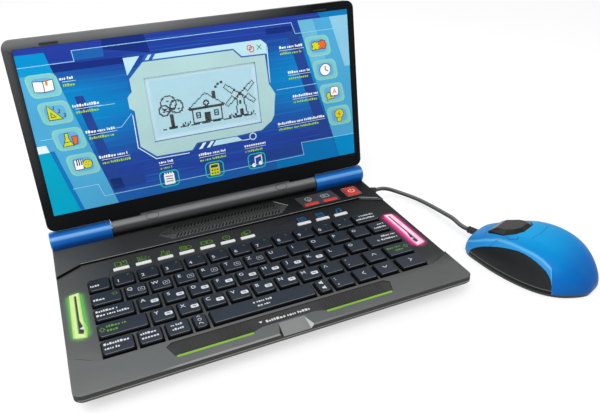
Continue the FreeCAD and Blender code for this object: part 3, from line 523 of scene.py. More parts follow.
def mouse_paint():
    """Bright blue plastic, deeper at the tail, with painted shade above the ridge of each flank, a painted
    highlight band below it and a painted highlight line along it.
    """
    n = Nodes("mouse_blue_gloss")
    spot = n.add("ShaderNodeMapping", vector_type="TEXTURE")
    n.feed(spot.inputs["Vector"], n.place)
    spot.inputs["Location"].default_value = MOUSE_SPOT * MM
    spot.inputs["Rotation"].default_value = (0, 0, math.atan2(-NOSE.x, NOSE.y))
    side, run, rise = n.parts(spot.outputs[0])
    along = n.fit(n.plus(run, n.times(rise, 1.1)), -0.045, 0.06, 0, 1)
    tone = n.ramp(along, [
        (0.0, (0, 74, 146)), (0.3, (0, 102, 180)), (0.58, (0, 140, 206)), (0.85, (16, 160, 220)),
        (1.0, (14, 134, 204))])
    tone = n.cloud(tone, (0, 96, 180), 30, 0.08, detail=3)
    levels = n.add("ShaderNodeValToRGB")
    n.feed(levels.inputs[0], n.fit(run, RIDGE_START * MM, (RIDGE_START + RIDGE_LENGTH) * MM, 0, 1))
    while len(levels.color_ramp.elements) < len(RIDGE):
        levels.color_ramp.elements.new(0.5)
    levels.color_ramp.interpolation = "B_SPLINE"
    for element, (y, z) in zip(levels.color_ramp.elements, RIDGE):
        element.position = (y - RIDGE_START) / RIDGE_LENGTH
        element.color = (*[z / RIDGE_SCALE] * 3, 1)
    ridge = n.times(levels.outputs[0], RIDGE_SCALE * MM)
    over = n.minus(rise, ridge)
    reach = n.times(n.fit(n.size(side), 0.012, 0.016, 0, 1), n.fit(run, -0.0325, -0.030, 0, 1))
    # painted shade just above the ridge
    tone = n.tint(n.times(reach, n.fit(over, 0.0, 6.0 * MM, 0.45, 0)), tone, (0, 100, 180))
    # painted highlight band below the ridge
    tone = n.tint(n.times(reach, n.fit(over, 0.0, -0.5 * MM, 0, 0.62)), tone, (54, 150, 216))
    # painted highlight line along the ridge
    edge = n.fit(n.size(n.plus(over, 0.5 * MM)), 0.1 * MM, 1.1 * MM, 0.6, 0)
    tone = n.tint(n.times(reach, edge), tone, (112, 190, 234))
    return n.surface(tone, (90, 4), (0.36, 0.44), 0.1, (2600, 2, 0.06))


PAINTS = {
    "base_top_case": deck_paint(),
    "base_bottom_case": bottom_paint(),
    "speaker_grille": grille_paint(),
    "front_panel": plastic("panel_ribbed_gloss", (58, 56, 55), rough=0.45, shine=0.16),
    # the lime strips carry a faint painted glow
    "accent_strips": plastic("lime_plastic", (122, 168, 60), rough=0.4, vary=0.08, glow=0.1, shine=0.15),
    "light_pipe_left": pipe_paint("lime_light", (228, 242, 158), (124, 206, 62)),
    "light_pipe_right": pipe_paint("pink_light", (255, 232, 244), (238, 66, 160)),
    "hinge_covers": round_paint("hinge_blue", (4, 72, 150), (18, 98, 182), (104, 164, 222), coat=0.08),
    "hinge_pins": plastic("pin_steel", (165, 168, 172), rough=0.3, metal=1.0, grain=0.1),
    "key_membrane": plastic("membrane_grey", (150, 152, 152), rough=0.7),
    "speaker": plastic("speaker_black", (26, 26, 27), rough=0.5),
    "batteries": plastic("cell_jacket", (178, 132, 50), rough=0.35, metal=0.6),
    "battery_contacts": plastic("contact_chrome", (200, 200, 202), rough=0.2, metal=1.0, grain=0.1),
    "battery_door": plastic("door_fine_grain", (50, 52, 53), rough=0.58, grain=0.5),
    "rubber_feet": plastic("foot_rubber", (22, 22, 23), rough=0.8, grain=0.5),
    "cable_grommet": plastic("grommet_rubber", (34, 35, 36), rough=0.55),
    "lid_front_bezel": bezel_paint(),
    "lid_rear_cover": plastic("lid_back_grain", (34, 35, 36), rough=0.5, grain=0.5),
    "screen_panel": screen_paint(),
    "lcd_window": window_paint("window_clear"),
    "lcd_display": display_paint(),
    "lid_hinge_bar": round_paint("bar_dark_gloss", (16, 17, 18), (62, 63, 64), (128, 129, 131)),
    "ribbon_cable": plastic("ribbon_grey", (190, 190, 192), rough=0.5),
    "lid_bumpers": plastic("bumper_rubber", (14, 14, 14), rough=0.6),
    "mouse_top_shell": mouse_paint(),
    "mouse_side_grips": grip_paint(),
    "mouse_base": plastic("mouse_base_gloss", (14, 14, 15), rough=0.22, grain=0.08, coat=0.2),
    "mouse_feet": plastic("mouse_foot", (40, 40, 40), rough=0.6),
    "mouse_lens": window_paint("lens_clear"),
    "mouse_button": plastic("button_black_satin", (12, 12, 13), rough=0.3, grain=0.12, shine=0.3),
    "cable_boot": plastic("boot_rubber", (38, 39, 40), rough=0.5),
    "shortcut_buttons": plastic("button_white", (232, 232, 230), rough=0.45, vary=0.03, grain=0.15),
    "red_button_left": plastic("button_red_left", (222, 66, 52), rough=0.42, vary=0.05, grain=0.15),
    "red_button_right": plastic("button_red_right", (222, 66, 52), rough=0.42, vary=0.05, grain=0.15),
    "power_button": plastic("button_red_power", (214, 62, 54), rough=0.4, vary=0.06, grain=0.15),
}
for node in ("case", "lid", "mouse", "door"):
    screw = "battery_door_screw" if node == "door" else node + "_screws"
    PAINTS[screw] = plastic(node + "_screw_steel", (150, 152, 155), rough=0.3, metal=1.0)
BOARDS = {
    "keypad_board": "", "main_board": "_main", "led_boards": "_led", "lcd_board": "_lcd",
    "mouse_board": "_mouse"}
for node, ending in BOARDS.items():
    PAINTS[node] = plastic("board_green" + ending, (18, 84, 44), rough=0.35)
KEY_PAINT = key_paint()
LIP_PAINT = plastic("lip_rubber", (15, 16, 17), rough=0.6, grain=0.2, shine=0.1)
CABLE_PAINT = cable_paint()
for name, node in NODES.items():
    node.data.materials.clear()
    node.data.materials.append(PAINTS.get(name, CABLE_PAINT if name == "mouse_cable" else KEY_PAINT))


# ---------------------------------------------------------------- thin shapes
def mesh_piece(name, points, faces, paint, body):
    """New piece from points in millimetres."""
    mesh = bpy.data.meshes.new(name)
    mesh.from_pydata([Vector(p) * MM for p in points], [], faces)
    mesh.update()
    mesh.materials.append(paint)
    piece = bpy.data.objects.new(name, mesh)
    scene.collection.objects.link(piece)
    if body:
        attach(piece, body)
    return piece


class Print:
    """Flat shapes of one colour. Each becomes a thin closed plate lying on a surface."""

    def __init__(self, place, level, thick=0.03):
        self.place = place
        self.level = level
        self.thick = thick
        self.points = []
        self.faces = []

    def area(self, outline):
        """Filled outline."""
        start = len(self.points)
        count = len(outline)
        turn = sum(a[0] * b[1] - b[0] * a[1] for a, b in zip(outline, outline[1:] + outline[:1]))
        loop = list(outline) if turn > 0 else list(reversed(outline))
        for z in (self.level, self.level + self.thick):
            self.points += [self.place @ Vector((x, y, z)) for x, y in loop]
        self.faces.append(list(range(start + count - 1, start - 1, -1)))
        self.faces.append(list(range(start + count, start + 2 * count)))
        for i in range(count):
            j = (i + 1) % count
            self.faces.append([start + i, start + j, start + count + j, start + count + i])
        return self

    def areas(self, *outlines):
        for outline in outlines:
            self.area(outline)
        return self

    def line(self, spots, width, closed=False):
        """Stroke of one width with mitred corners."""
        pts = [Vector(p) for p in spots]
        count = len(pts)
        sides = []
        for i in range(count):
            before = pts[i - 1] if i or closed else None
            after = pts[(i + 1) % count] if i < count - 1 or closed else None
            runs = []
            if before is not None:
                runs.append((pts[i] - before).normalized())
            if after is not None:
                runs.append((after - pts[i]).normalized())
            across = [Vector((-r.y, r.x)) for r in runs]
            middle = across[0] + across[-1]
            middle = middle.normalized() if middle.length > 1e-6 else across[0]
            reach = min(width / 2 / max(middle.dot(across[0]), 0.3), width)
            sides.append((pts[i] + middle * reach, pts[i] - middle * reach))
        for i in range(count if closed else count - 1):
            a, b = sides[i], sides[(i + 1) % count]
            self.area([tuple(a[0]), tuple(a[1]), tuple(b[1]), tuple(b[0])])
        return self

    def box(self, x0, y0, x1, y1):
        return self.area([(x0, y0), (x1, y0), (x1, y1), (x0, y1)])

    def dot(self, x, y, r, sides=20):
        return self.area(arc(x, y, r, 0, 360 - 360 / sides, sides))

    def ring(self, x, y, r, width, sides=24):
        return self.line(arc(x, y, r, 0, 360 - 360 / sides, sides), width, closed=True)

    def words(self, x0, x1, y, tall, seed=1):
        """A line of neutral dashes where a caption stands."""
        x = x0
        step = seed
        while x < x1 - 0.4 * tall:
            step = (step * 5 + 3) % 17
            wide = tall * (0.34 + 0.028 * step)
            high = tall * (0.72, 1.0, 0.72, 0.72, 0.95)[step % 5]
            end = min(x + wide, x1)
            self.area(rounded(x, y - tall / 2, end, y - tall / 2 + high, tall * 0.2, 3))
            x = end + tall * (0.55 if step % 7 == 3 else 0.2)
        return self

    def glyph(self, text, x, y, tall, turn=0.0):
        """One key-cap letter or digit, centred."""
        curve = bpy.data.curves.new("glyph", "FONT")
        curve.body = text
        curve.size = tall / 0.7
        curve.align_x = "CENTER"
        curve.extrude = self.thick / 2
        curve.resolution_u = 3
        curve.offset = tall * 0.014
        holder = bpy.data.objects.new("glyph", curve)
        scene.collection.objects.link(holder)
        bpy.context.view_layer.update()
        mesh = holder.to_mesh()
        start = len(self.points)
        spin = Matrix.Rotation(math.radians(turn), 4, "Z")
        for vertex in mesh.vertices:
            p = spin @ Vector((vertex.co.x, vertex.co.y - tall / 2, vertex.co.z))
            self.points.append(self.place @ Vector((p.x + x, p.y + y, p.z + self.level + self.thick / 2)))
        self.faces += [[start + v for v in face.vertices] for face in mesh.polygons]
        holder.to_mesh_clear()
        bpy.data.objects.remove(holder)
        bpy.data.curves.remove(curve)
        return self

    def piece(self, name, paint, body, slot):
        return mesh_piece(name, self.points, self.faces, paint, body)


def arc(x, y, r, start, end, steps):
    """Points along an arc, in degrees."""
    out = []
    for i in range(steps):
        a = math.radians(start + (end - start) * i / (steps - 1))
        out.append((x + r * math.cos(a), y + r * math.sin(a)))
    return out


def rounded(x0, y0, x1, y1, r, steps=5):
    """Rectangle with round corners."""
    r = min(r, (x1 - x0) / 2 - 0.001, (y1 - y0) / 2 - 0.001)
    out = []
    corners = ((x1 - r, y0 + r, 270), (x1 - r, y1 - r, 0), (x0 + r, y1 - r, 90), (x0 + r, y0 + r, 180))
    for cx, cy, start in corners:
        out += arc(cx, cy, r, start, start + 90, steps)
    return out


def leaning(points, middle, lean):
    """Outline sheared so that its upper part moves left."""
    return [(x - (y - middle) * lean, y) for x, y in points]


def scaled(points, centre, size):
    """Outline drawn about zero, moved and resized."""
    return [(centre[0] + x * size, centre[1] + y * size) for x, y in points]


INK = {
    "key_white": ink("ink_key_white", (210, 214, 216)),
    "key_green": ink("ink_key_green", (98, 148, 66)),
    "lime": ink("ink_lime", (108, 160, 46)),
    "teal_blue": ink("ink_teal_blue", (38, 122, 172)),
    "seam": plastic("seam_dark", (16, 17, 18), rough=0.6, grain=0.1),
}

# ---------------------------------------------------------------- artwork of the screen sheet
sheet = []


def layer(rgb, name, step, glow=0.0):
    """A print layer of the screen sheet; higher steps lie over lower ones."""
    made = Print(LID, PANEL + 0.02 * step, 0.018)
    sheet.append((made, "sheet_" + name, ink("ink_" + name, rgb, glow)))
    return made


EDGE_L, EDGE_R, EDGE_B, EDGE_T = -136.8, 137.8, 11.75, 144.05

layer((22, 44, 122), "navy_blocks", 0).areas(
    [(-73.5, EDGE_T), (-41, EDGE_T), (-38, 129.5), (-73.5, 136.5)],
    [(-114, 130), (-60, 129), (-60, 124), (-112.5, 124)],
    [(60.5, 136), (86, 136), (83, 131), (60.5, 131)])
layer((36, 68, 144), "diagonal_bands", 1).areas(
    [(-101.5, 104), (-95, 104), (-77, 21.5), (-86, 21.5)],
    [(78.5, 131.5), (88.5, 131.5), (114.5, 33.5), (103.5, 33.5)],
    [(-95, 33), (-60, 33), (-60, 24), (-92, 24)],
    [(46, 31.5), (83, 31.5), (84, 22), (46, 22)])
layer((8, 118, 184), "cyan_fields", 2).areas(
    [(85, 31), (116, 31), (120.5, EDGE_B), (58, EDGE_B), (58, 19.5), (86, 20)],
    [(109, EDGE_T), (EDGE_R, EDGE_T), (EDGE_R, 139.5), (112, 139.5)])
layer((30, 94, 170), "blue_fields", 3).areas(
    [(-94.5, 19.5), (57, 18.5), (57, EDGE_B), (-84, EDGE_B)],
    [(-96.5, 138), (-73.5, 138), (-73.5, 131), (-96, 131)])
layer((76, 166, 210), "side_strips", 4).areas(
    [(EDGE_L, 124), (-112.5, 124), (-85, EDGE_B), (EDGE_L, EDGE_B)],
    [(90, 139.5), (EDGE_R, 139.5), (EDGE_R, EDGE_B), (121.5, EDGE_B)])
layer((0, 140, 202), "cyan_corner", 5).areas(
    [(EDGE_L, 139.5), (-116, 139.5), (-114, 130), (EDGE_L, 130)],
    [(116.5, 31), (EDGE_R, 31), (EDGE_R, EDGE_B), (121.5, EDGE_B)])
layer((6, 148, 206), "cyan_step", 5).area([(EDGE_L, 130), (-114, 130), (-112.5, 124), (EDGE_L, 124)])
layer((138, 196, 222), "pale_strip", 5).area([(120, 139.5), (EDGE_R, 139.5), (EDGE_R, 95), (132.5, 95)])
layer((106, 182, 214), "strip_light", 5).area([(90, 139.5), (104, 139.5), (117.5, 92), (103, 92)])
layer((0, 162, 196), "teal_foot", 5).area(
    [(EDGE_L, 64), (-128.5, 64), (-120, 29), (-115.5, EDGE_B), (EDGE_L, EDGE_B)])
layer((14, 118, 186), "foot_shade", 6).area(
    [(-128.5, 64.5), (-125, 64.5), (-112.5, EDGE_B), (-115.5, EDGE_B), (-120, 29)])
layer((226, 241, 248), "white_tab", 6).area([(EDGE_L, 70), (-130, 70), (-128.5, 64), (EDGE_L, 64)])

lines = layer((150, 206, 240), "circuit_lines", 7)
CIRCUITS = [
    [(EDGE_L, 130.5), (-96, 130.5), (-96.5, 138.5), (84, 138.5), (87, 129), (EDGE_R, 129)],
    [(-86, 94), (-72.5, 94)],
    [(-77.5, 74.5), (-71, 74.5), (-61, 84)],
    [(-133, 74.5), (-123, 74.5)],
    [(-118, 31), (-98, 31), (-95, 20), (85.5, 20), (84, 32), (EDGE_R, 31)],
    [(65, 83.5), (104, 83.5)],
]
for path in CIRCUITS:
    lines.line(path, 0.55)

# screen frame: pale plate round the window, cut into four so that the window stays open
window_low, window_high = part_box("lcd_window")
WX0, WX1 = window_low.x / MM - 0.15, window_high.x / MM + 0.15
WV0 = (window_low.z / MM - LID.translation.z) / UP_LID.z - 0.2
WV1 = (window_high.z / MM - LID.translation.z) / UP_LID.z - 0.1
layer((176, 211, 211), "frame_plate", 8).areas(
    [(-58, 111.5), (-45.5, 123.5), (29.5, 123), (36, 116), (58, 115.5), (58, WV1), (-58, WV1)],
    [(-58.5, 85.5), (-62, 88), (-62, 97), (-58, 101), (-58, WV1), (WX0, WV1), (WX0, WV0), (-59, WV0)],
    [(58, WV1), (59, 89), (63.5, 80.5), (62, 73.5), (60.5, 62), (57.5, WV0), (WX1, WV0), (WX1, WV1)],
    [(-59, WV0), (-59, 55.5), (-47.5, 44.5), (-16.5, 44.5),
        (-11.5, 50), (24, 49.5), (47.5, 50.5), (57.5, WV0)])
light = layer((186, 226, 236), "frame_light", 9).areas(
    [(-60, 128), (-47, 128), (-59, 114)],
    [(-44.5, 124), (-40.5, 128), (55, 128), (60, 123.5), (59.5, 115.5), (37, 116.5), (30, 123.5)],
    [(4.9, 49), (24, 49), (29, 44.5), (1.3, 44.5)])
light.line([(60, 122), (59.5, 90.5)], 1.0)
outline = layer((38, 98, 176), "frame_outline", 10)
outline.line([
    (-58.5, 100.5), (-58.5, 111.5), (-45.5, 123.5), (30, 123), (36.5, 116), (58, 115.5), (59, 89.5)], 1.1)
outline.line([(-59, 85), (-59.5, 55.5), (-47.5, 44.5), (-16.5, 44), (-11.5, 49.5), (-5.6, 49.5)], 1.1)
outline.areas(
    [(-42.5, 128.5), (-39.5, 128.5), (-44, 123.5), (-46.5, 123.5)],
    [(-37, 128.5), (-34, 128.5), (-38, 123.5), (-41, 123.5)])
marks = layer((226, 246, 252), "frame_marks", 10).areas(
    [(-6.6, 49), (-3.8, 49), (-8, 44), (-11, 44)],
    [(0.4, 49), (3.2, 49), (-1.2, 44), (-4.0, 44)])
marks.line([(-60.5, 82.5), (-61, 55), (-48, 43), (-19.5, 42.5)], 0.7)
marks.line([(29, 44.5), (35.5, 44.5)], 0.7).ring(38.5, 46.5, 2.9, 0.8)
tool = layer((218, 72, 52), "tool_red", 10)
tool.line(rounded(44.5, 119, 48, 123, 0.5, 2), 0.7, True)
tool.line(rounded(42.5, 121, 46, 124.5, 0.5, 2), 0.7, True)
tool = layer((40, 150, 70), "tool_green", 10)
tool.line([(51, 120), (55, 124)], 0.7).line([(51, 124), (55, 120)], 0.7)

# captions: a white line, a rule and a green line
CAPTIONS = [
    (-109.5, -99.5, 119), (-104.5, -84, 97), (-99, -76.5, 75), (-93, -70, 53),
    (71, 94, 119), (77, 98.5, 97), (79.5, 104.5, 75.5), (63, 109.5, 53),
    (-46.5, -34, 39), (-12, 12, 39), (29.5, 49.5, 39),
]
white = layer((238, 244, 248), "caption_white", 11)
green = layer((160, 206, 72), "caption_green", 11)
for i, (x0, x1, v) in enumerate(CAPTIONS):
    white.words(x0, x1, v, 2.4, seed=i + 2)
    lean = 1.6 if i < 4 else (-1.4 if i < 8 else 0)
    white.line([(x0 + max(lean, 0), v - 2.6), (x1 + max(lean, 0), v - 2.6)], 0.35)
    shift = 1.8 if i < 4 else 0.4
    green.words(x0 + shift, x0 + shift + (x1 - x0) * (0.86 if i % 3 else 1.0), v - 5.2, 2.15, seed=i + 7)

# icon tiles
SIDE_TILES = [
    (-121.5, 115.5), (-117.5, 94), (-112, 72), (-106, 50),
    (107.5, 116), (113, 94.5), (118.5, 72.5), (124, 51)]
LOW_TILES = [(-40, 23.5), (0.2, 23.5), (39.5, 23.5)]
rim = layer((136, 204, 190), "tile_rim", 8)
halo = layer((122, 196, 206), "tile_halo", 9)
heart = layer((100, 172, 214), "tile_heart", 10)
for x, v in SIDE_TILES:
    for made, half_x, half_v, r in ((rim, 11.5, 9, 4.6), (halo, 10, 7.7, 4.0), (heart, 7.6, 5.8, 3.6)):
        made.area(leaning(rounded(x - half_x, v - half_v, x + half_x, v + half_v, r), v, 0.16))
low_rim = layer((48, 196, 168), "tile_rim_low", 10)
for x, v in LOW_TILES:
    low_rim.line(rounded(x - 8, v - 6.8, x + 8, v + 6.8, 3.4), 0.9, True)

dark = layer((36, 52, 72), "icon_outline", 11)
pale = layer((246, 249, 250), "icon_white", 12)
lemon = layer((206, 214, 38), "icon_lemon", 12)
orange = layer((232, 104, 48), "icon_orange", 12)
detail = layer((40, 60, 90), "icon_detail", 13)
spark = layer((238, 112, 40), "icon_spark", 13)
PUZZLE = [
    (-3, -3), (-0.8, -3), (-0.8, -2.2), (0.8, -2.2), (0.8, -3),
    (3, -3), (3, -0.8), (4, -0.8), (4, 0.8), (3, 0.8),
    (3, 3), (0.9, 3), (0.9, 3.9), (-0.9, 3.9), (-0.9, 3),
    (-3, 3), (-3, 0.8), (-2.2, 0.8), (-2.2, -0.8), (-3, -0.8)]
FLASK = [(-3.6, -5), (3.6, -5), (1.0, 0.6), (1.0, 4.4), (-1.0, 4.4), (-1.0, 0.6)]


def at(*points):
    """Outline given from the middle of the current tile."""
    return [(x + px, v + pv) for px, pv in points]


def both(made, outline_):
    """Filled icon part with a dark rim behind it."""
    made.area(outline_)
    dark.line(outline_, 1.0, True)


# open book with a bookmark
x, v = SIDE_TILES[0]
both(pale, at((-7, 3.8), (-0.3, 2.9), (-0.3, -4.6), (-7, -3.8)))
both(pale, at((0.3, 2.9), (7, 3.8), (7, -3.8), (0.3, -4.6)))
spark.area(at((1.6, 4.0), (3.2, 4.0), (3.2, -0.6), (2.4, 0.4), (1.6, -0.6)))
# set square with digits
x, v = SIDE_TILES[1]
both(lemon, at((-5.4, 6), (-5.4, -5), (4.2, -5)))
detail.line(at((-3.6, 0.6), (-3.6, -3.2), (-0.2, -3.2)), 0.6, True)
for i, (dx, dv) in enumerate(((-0.8, 3.9), (2.8, 1.0), (6.2, -2.6))):
    detail.glyph(str(i + 1), x + dx, v + dv, 3.0, -12)
# flask and beaker
x, v = SIDE_TILES[2]
both(lemon, scaled(FLASK, (x - 1.6, v), 1.05))
both(orange, at((2.2, 1.6), (6.0, 1.6), (5.4, -4.6), (2.8, -4.6)))
detail.line(at((-4.2, -2.2), (1.0, -2.2)), 0.5)
# piano keys and a palette
x, v = SIDE_TILES[3]
both(pale, at((-6.4, 4.2), (-0.2, 4.2), (-0.2, -3.8), (-6.4, -3.8)))
for dx in (-5.0, -3.3, -1.6):
    detail.area([(x + dx, v + 4.2), (x + dx + 0.9, v + 4.2), (x + dx + 0.9, v - 0.6), (x + dx, v - 0.6)])
both(lemon, arc(x + 3.4, v - 0.4, 3.5, -60, 250, 16))
spark.dot(x + 1.7, v - 0.6, 0.6, 10).dot(x + 2.6, v + 1.3, 0.6, 10).dot(x + 4.7, v + 1.3, 0.6, 10)
pale.dot(x + 4.4, v - 1.6, 1.0, 12)
# two puzzle pieces
x, v = SIDE_TILES[4]
both(lemon, scaled(PUZZLE, (x - 2.6, v), 1.0))
both(orange, scaled(PUZZLE, (x + 3.6, v + 0.4), 1.05))
# clock
x, v = SIDE_TILES[5]
pale.dot(x, v, 5.0, 28)
dark.ring(x, v, 5.1, 0.9, 28)
detail.line(at((0, 3.4), (0, 0), (2.8, -1.6)), 0.8)
# letter card in a bent arrow
x, v = SIDE_TILES[6]
both(pale, rounded(x - 1.6, v - 2.4, x + 6.0, v + 5.4, 1.8, 4))
both(lemon, at(
    (-5.2, 0.6), (-2.4, 0.6), (-2.4, -3.2), (2.4, -3.2), (0.6, -4.6),
    (-3.0, -4.6), (-5.0, -6.2), (-4.8, -4.2), (-5.8, -2.4)))
spark.glyph("A", x + 2.2, v + 1.5, 4.4)
# bulb with a flash
x, v = SIDE_TILES[7]
both(lemon, arc(x, v + 1.4, 4.2, -52, 232, 20))
both(lemon, at((-2.2, -2.2), (2.2, -2.2), (1.8, -5.6), (-1.8, -5.6)))
spark.area(at((0.8, 4.6), (-2.0, 1.0), (-0.3, 1.0), (-0.8, -1.6), (2.0, 2.0), (0.3, 2.0)))
# note pad
x, v = LOW_TILES[0]
pale.area(rounded(x - 4.4, v - 5.0, x + 4.4, v + 4.4, 0.6, 3))
for k in range(4):
    pale.box(x - 3.8 + 2.1 * k, v + 4.2, x - 2.7 + 2.1 * k, v + 5.6)
for dv in (2.4, 0.2, -2.0):
    detail.line([(x - 3.0, v + dv), (x + 3.0, v + dv - 0.4)], 0.7)
# calculator
x, v = LOW_TILES[1]
lemon.area(rounded(x - 4.4, v - 5.2, x + 4.4, v + 5.2, 1.0, 3))
detail.box(x - 3.2, v + 1.8, x + 3.2, v + 4.2)
for dx in (-2.4, 0.0, 2.4):
    for dv in (-0.4, -3.2):
        detail.dot(x + dx, v + dv, 0.75, 8)
# music note
x, v = LOW_TILES[2]
pale.dot(x - 3.0, v - 3.6, 1.9, 16).dot(x + 3.4, v - 2.6, 1.9, 16)
pale.line(at((-1.6, -3.4), (-1.6, 3.6), (4.8, 5.2), (4.8, -2.4)), 0.9)
pale.area(at((-1.9, 2.4), (-1.9, 4.2), (5.1, 5.8), (5.1, 4.0)))
for made, name, paint in sheet:
    made.piece(name, paint, "lid", "screen_print")

# ---------------------------------------------------------------- scene on the display, drawn as square dots
PIXEL = 1.05
dots = set()


def draw(x0, y0, x1, y1):
    """Straight run of dots."""
    steps = max(abs(x1 - x0), abs(y1 - y0), 1)
    for i in range(steps + 1):
        dots.add((round(x0 + (x1 - x0) * i / steps), round(y0 + (y1 - y0) * i / steps)))


def draw_loop(corners):
    for a, b in zip(corners, corners[1:] + corners[:1]):
        draw(*a, *b)


def draw_round(cx, cy, r):
    """Outline of a disc."""
    for i in range(8 * r):
        a = 2 * math.pi * i / (8 * r)
        dots.add((round(cx + r * math.cos(a)), round(cy + r * math.sin(a))))


def fill(x0, y0, x1, y1):
    for px in range(x0, x1 + 1):
        for py in range(y0, y1 + 1):
            dots.add((px, py))


# leafy tree
for cx, cy, r in ((13, 26, 6), (19, 23, 5), (9, 21, 4)):
    draw_round(cx, cy, r)
for px, py in ((12, 28), (14, 25), (18, 24), (20, 21), (10, 22), (15, 22), (16, 28), (8, 20)):
    fill(px, py, px + 1, py)
fill(13, 7, 15, 17)
draw(11, 7, 17, 7)
# house with a chimney
draw_loop([(31, 7), (55, 7), (55, 19), (31, 19)])
draw_loop([(28, 19), (43, 30), (58, 19)])
draw(29, 18, 57, 18)
fill(49, 25, 51, 30)
fill(41, 7, 45, 14)
for px in (34, 49):
    draw_loop([(px, 11), (px + 3, 11), (px + 3, 15), (px, 15)])
    draw(px, 13, px + 3, 13)
draw_round(43, 22, 2)
for px, py in ((52, 33), (54, 35), (57, 36)):
    fill(px, py, px + 1, py + 1)
# windmill
draw_loop([(67, 7), (77, 7), (74, 24), (70, 24)])
fill(71, 7, 73, 12)
fill(71, 17, 72, 19)
for dx, dy in ((1, 1), (-1, 1), (1, -1), (-1, -1)):
    draw(72, 25, 72 + 11 * dx, 25 + 9 * dy)
    draw(72 + 4 * dx, 25 + 4 * dy, 72 + 7 * dx, 25 + 1 * dy)
    draw(72 + 7 * dx, 25 + 1 * dy, 72 + 13 * dx, 25 + 7 * dy)
    draw(72 + 13 * dx, 25 + 7 * dy, 72 + 11 * dx, 25 + 9 * dy)
fill(71, 24, 73, 26)
# ground and grass
for px in range(6, 84):
    if px % 9 not in (0, 1):
        dots.add((px, 6))
for px in (22, 26, 61, 64, 80):
    draw(px, 7, px, 8)
    draw(px + 1, 7, px + 2, 9)
DISPLAY_FACE = -1.63
scene_dots = Print(LID, DISPLAY_FACE, 0.02)
origin_x, origin_v = WX0 + 0.15 + 2.2, WV0 + 0.2 + 1.4
for px, py in sorted(dots):
    x, v = origin_x + px * PIXEL, origin_v + py * PIXEL
    if WX0 + 1 < x < WX1 - 1.5 and v < WV1 - 1.5:
        scene_dots.box(x, v, x + PIXEL * 0.97, v + PIXEL * 0.97)
scene_dots.piece("display_dots", ink("display_dot_black", (6, 8, 10)), "lid", "display_glass")

# ---------------------------------------------------------------- marks on the base
tray_marks = Print(PLAN, TRAY, 0.03)
tray_blue = Print(PLAN, TRAY, 0.03)


def stroke_icon(kind, made, x, y):
    """Line icon about 9 by 7 mm."""
    wide = 0.5

    def loop(*points, closed=True):
        made.line(scaled(points, (x, y), 1), wide, closed)

    if kind == "book":
        loop((-4.6, 2.8), (-0.2, 2.2), (-0.2, -3.2), (-4.6, -2.6))
        loop((0.2, 2.2), (4.6, 2.8), (4.6, -2.6), (0.2, -3.2))
        loop((2.4, 2.4), (2.4, -0.6), closed=False)
    elif kind == "angle":
        loop((-4, 3), (-4, -3), (2.6, -3))
        loop((-2.8, 0), (-2.8, -1.9), (-0.6, -1.9))
        for i, (px, py) in enumerate(((-0.4, 2.2), (2.2, 1.0), (4.4, -1.2))):
            made.glyph(str(i + 1), x + px, y + py, 2.2)
    elif kind == "flask":
        loop(*[(px * 0.8 - 1, py * 0.75) for px, py in FLASK])
        loop((2, 1), (4.2, 1), (3.8, -3.4), (2.4, -3.4))
    elif kind == "piano":
        loop((-4.4, 2.8), (0.2, 2.8), (0.2, -2.8), (-4.4, -2.8))
        for px in (-2.9, -1.4):
            loop((px, 2.8), (px, -2.8), closed=False)
        made.line(arc(x + 2.8, y - 0.4, 2.2, -70, 250, 14), wide, True)
    elif kind == "puzzle":
        for shift in (-2.2, 2.7):
            loop(*[(px * 0.72 + shift, py * 0.72) for px, py in PUZZLE])
    elif kind == "clock":
        made.ring(x, y, 3.1, wide, 22)
        loop((0, 2), (0, 0), (1.5, -1), closed=False)
    elif kind == "talk":
        made.line(rounded(x - 1.0, y - 1.4, x + 4.2, y + 3.0, 1.0, 3), wide, True)
        loop((-4, 1), (-1.8, 1), (-1.8, -2), (1.4, -2), (0, -3), (-4, -3))
    elif kind == "pad":
        loop((-3.4, 3), (3.4, 3), (3.4, -3), (-3.4, -3))
        for row in (1.4, -0.2, -1.8):
            loop((-2.2, row), (2.2, row), closed=False)
    elif kind == "sums":
        loop((-3.2, 3.2), (3.2, 3.2), (3.2, -3.2), (-3.2, -3.2))
        loop((-2.2, 2.2), (2.2, 2.2), (2.2, 0.9), (-2.2, 0.9))
        for px in (-1.8, 0, 1.8):
            made.dot(x + px, y - 0.6, 0.5, 8).dot(x + px, y - 2.1, 0.5, 8)
    elif kind == "note":
        made.dot(x - 2, y - 2.2, 1.2, 12).dot(x + 2.2, y - 1.6, 1.2, 12)
        loop((-1.1, -2.1), (-1.1, 2.2), (3.1, 3.0), (3.1, -1.5), closed=False)


BARS = (-96.3, -78.6, -61.0, -43.4, -25.7, -8.0, 9.6)  # middles of the green icons
for x, kind in zip(BARS, ("book", "angle", "flask", "piano", "puzzle", "clock", "talk")):
    stroke_icon(kind, tray_marks, x + 0.6, 41.2)
for x, kind in zip((61.9, 79.8, 97.7), ("pad", "sums", "note")):
    stroke_icon(kind, tray_blue, x + 0.6, 41.0)
tray_marks.piece("tray_icons_green", INK["lime"], "base", "lime_plastic")
tray_blue.piece("tray_icons_blue", INK["teal_blue"], "base", "blue_plastic")

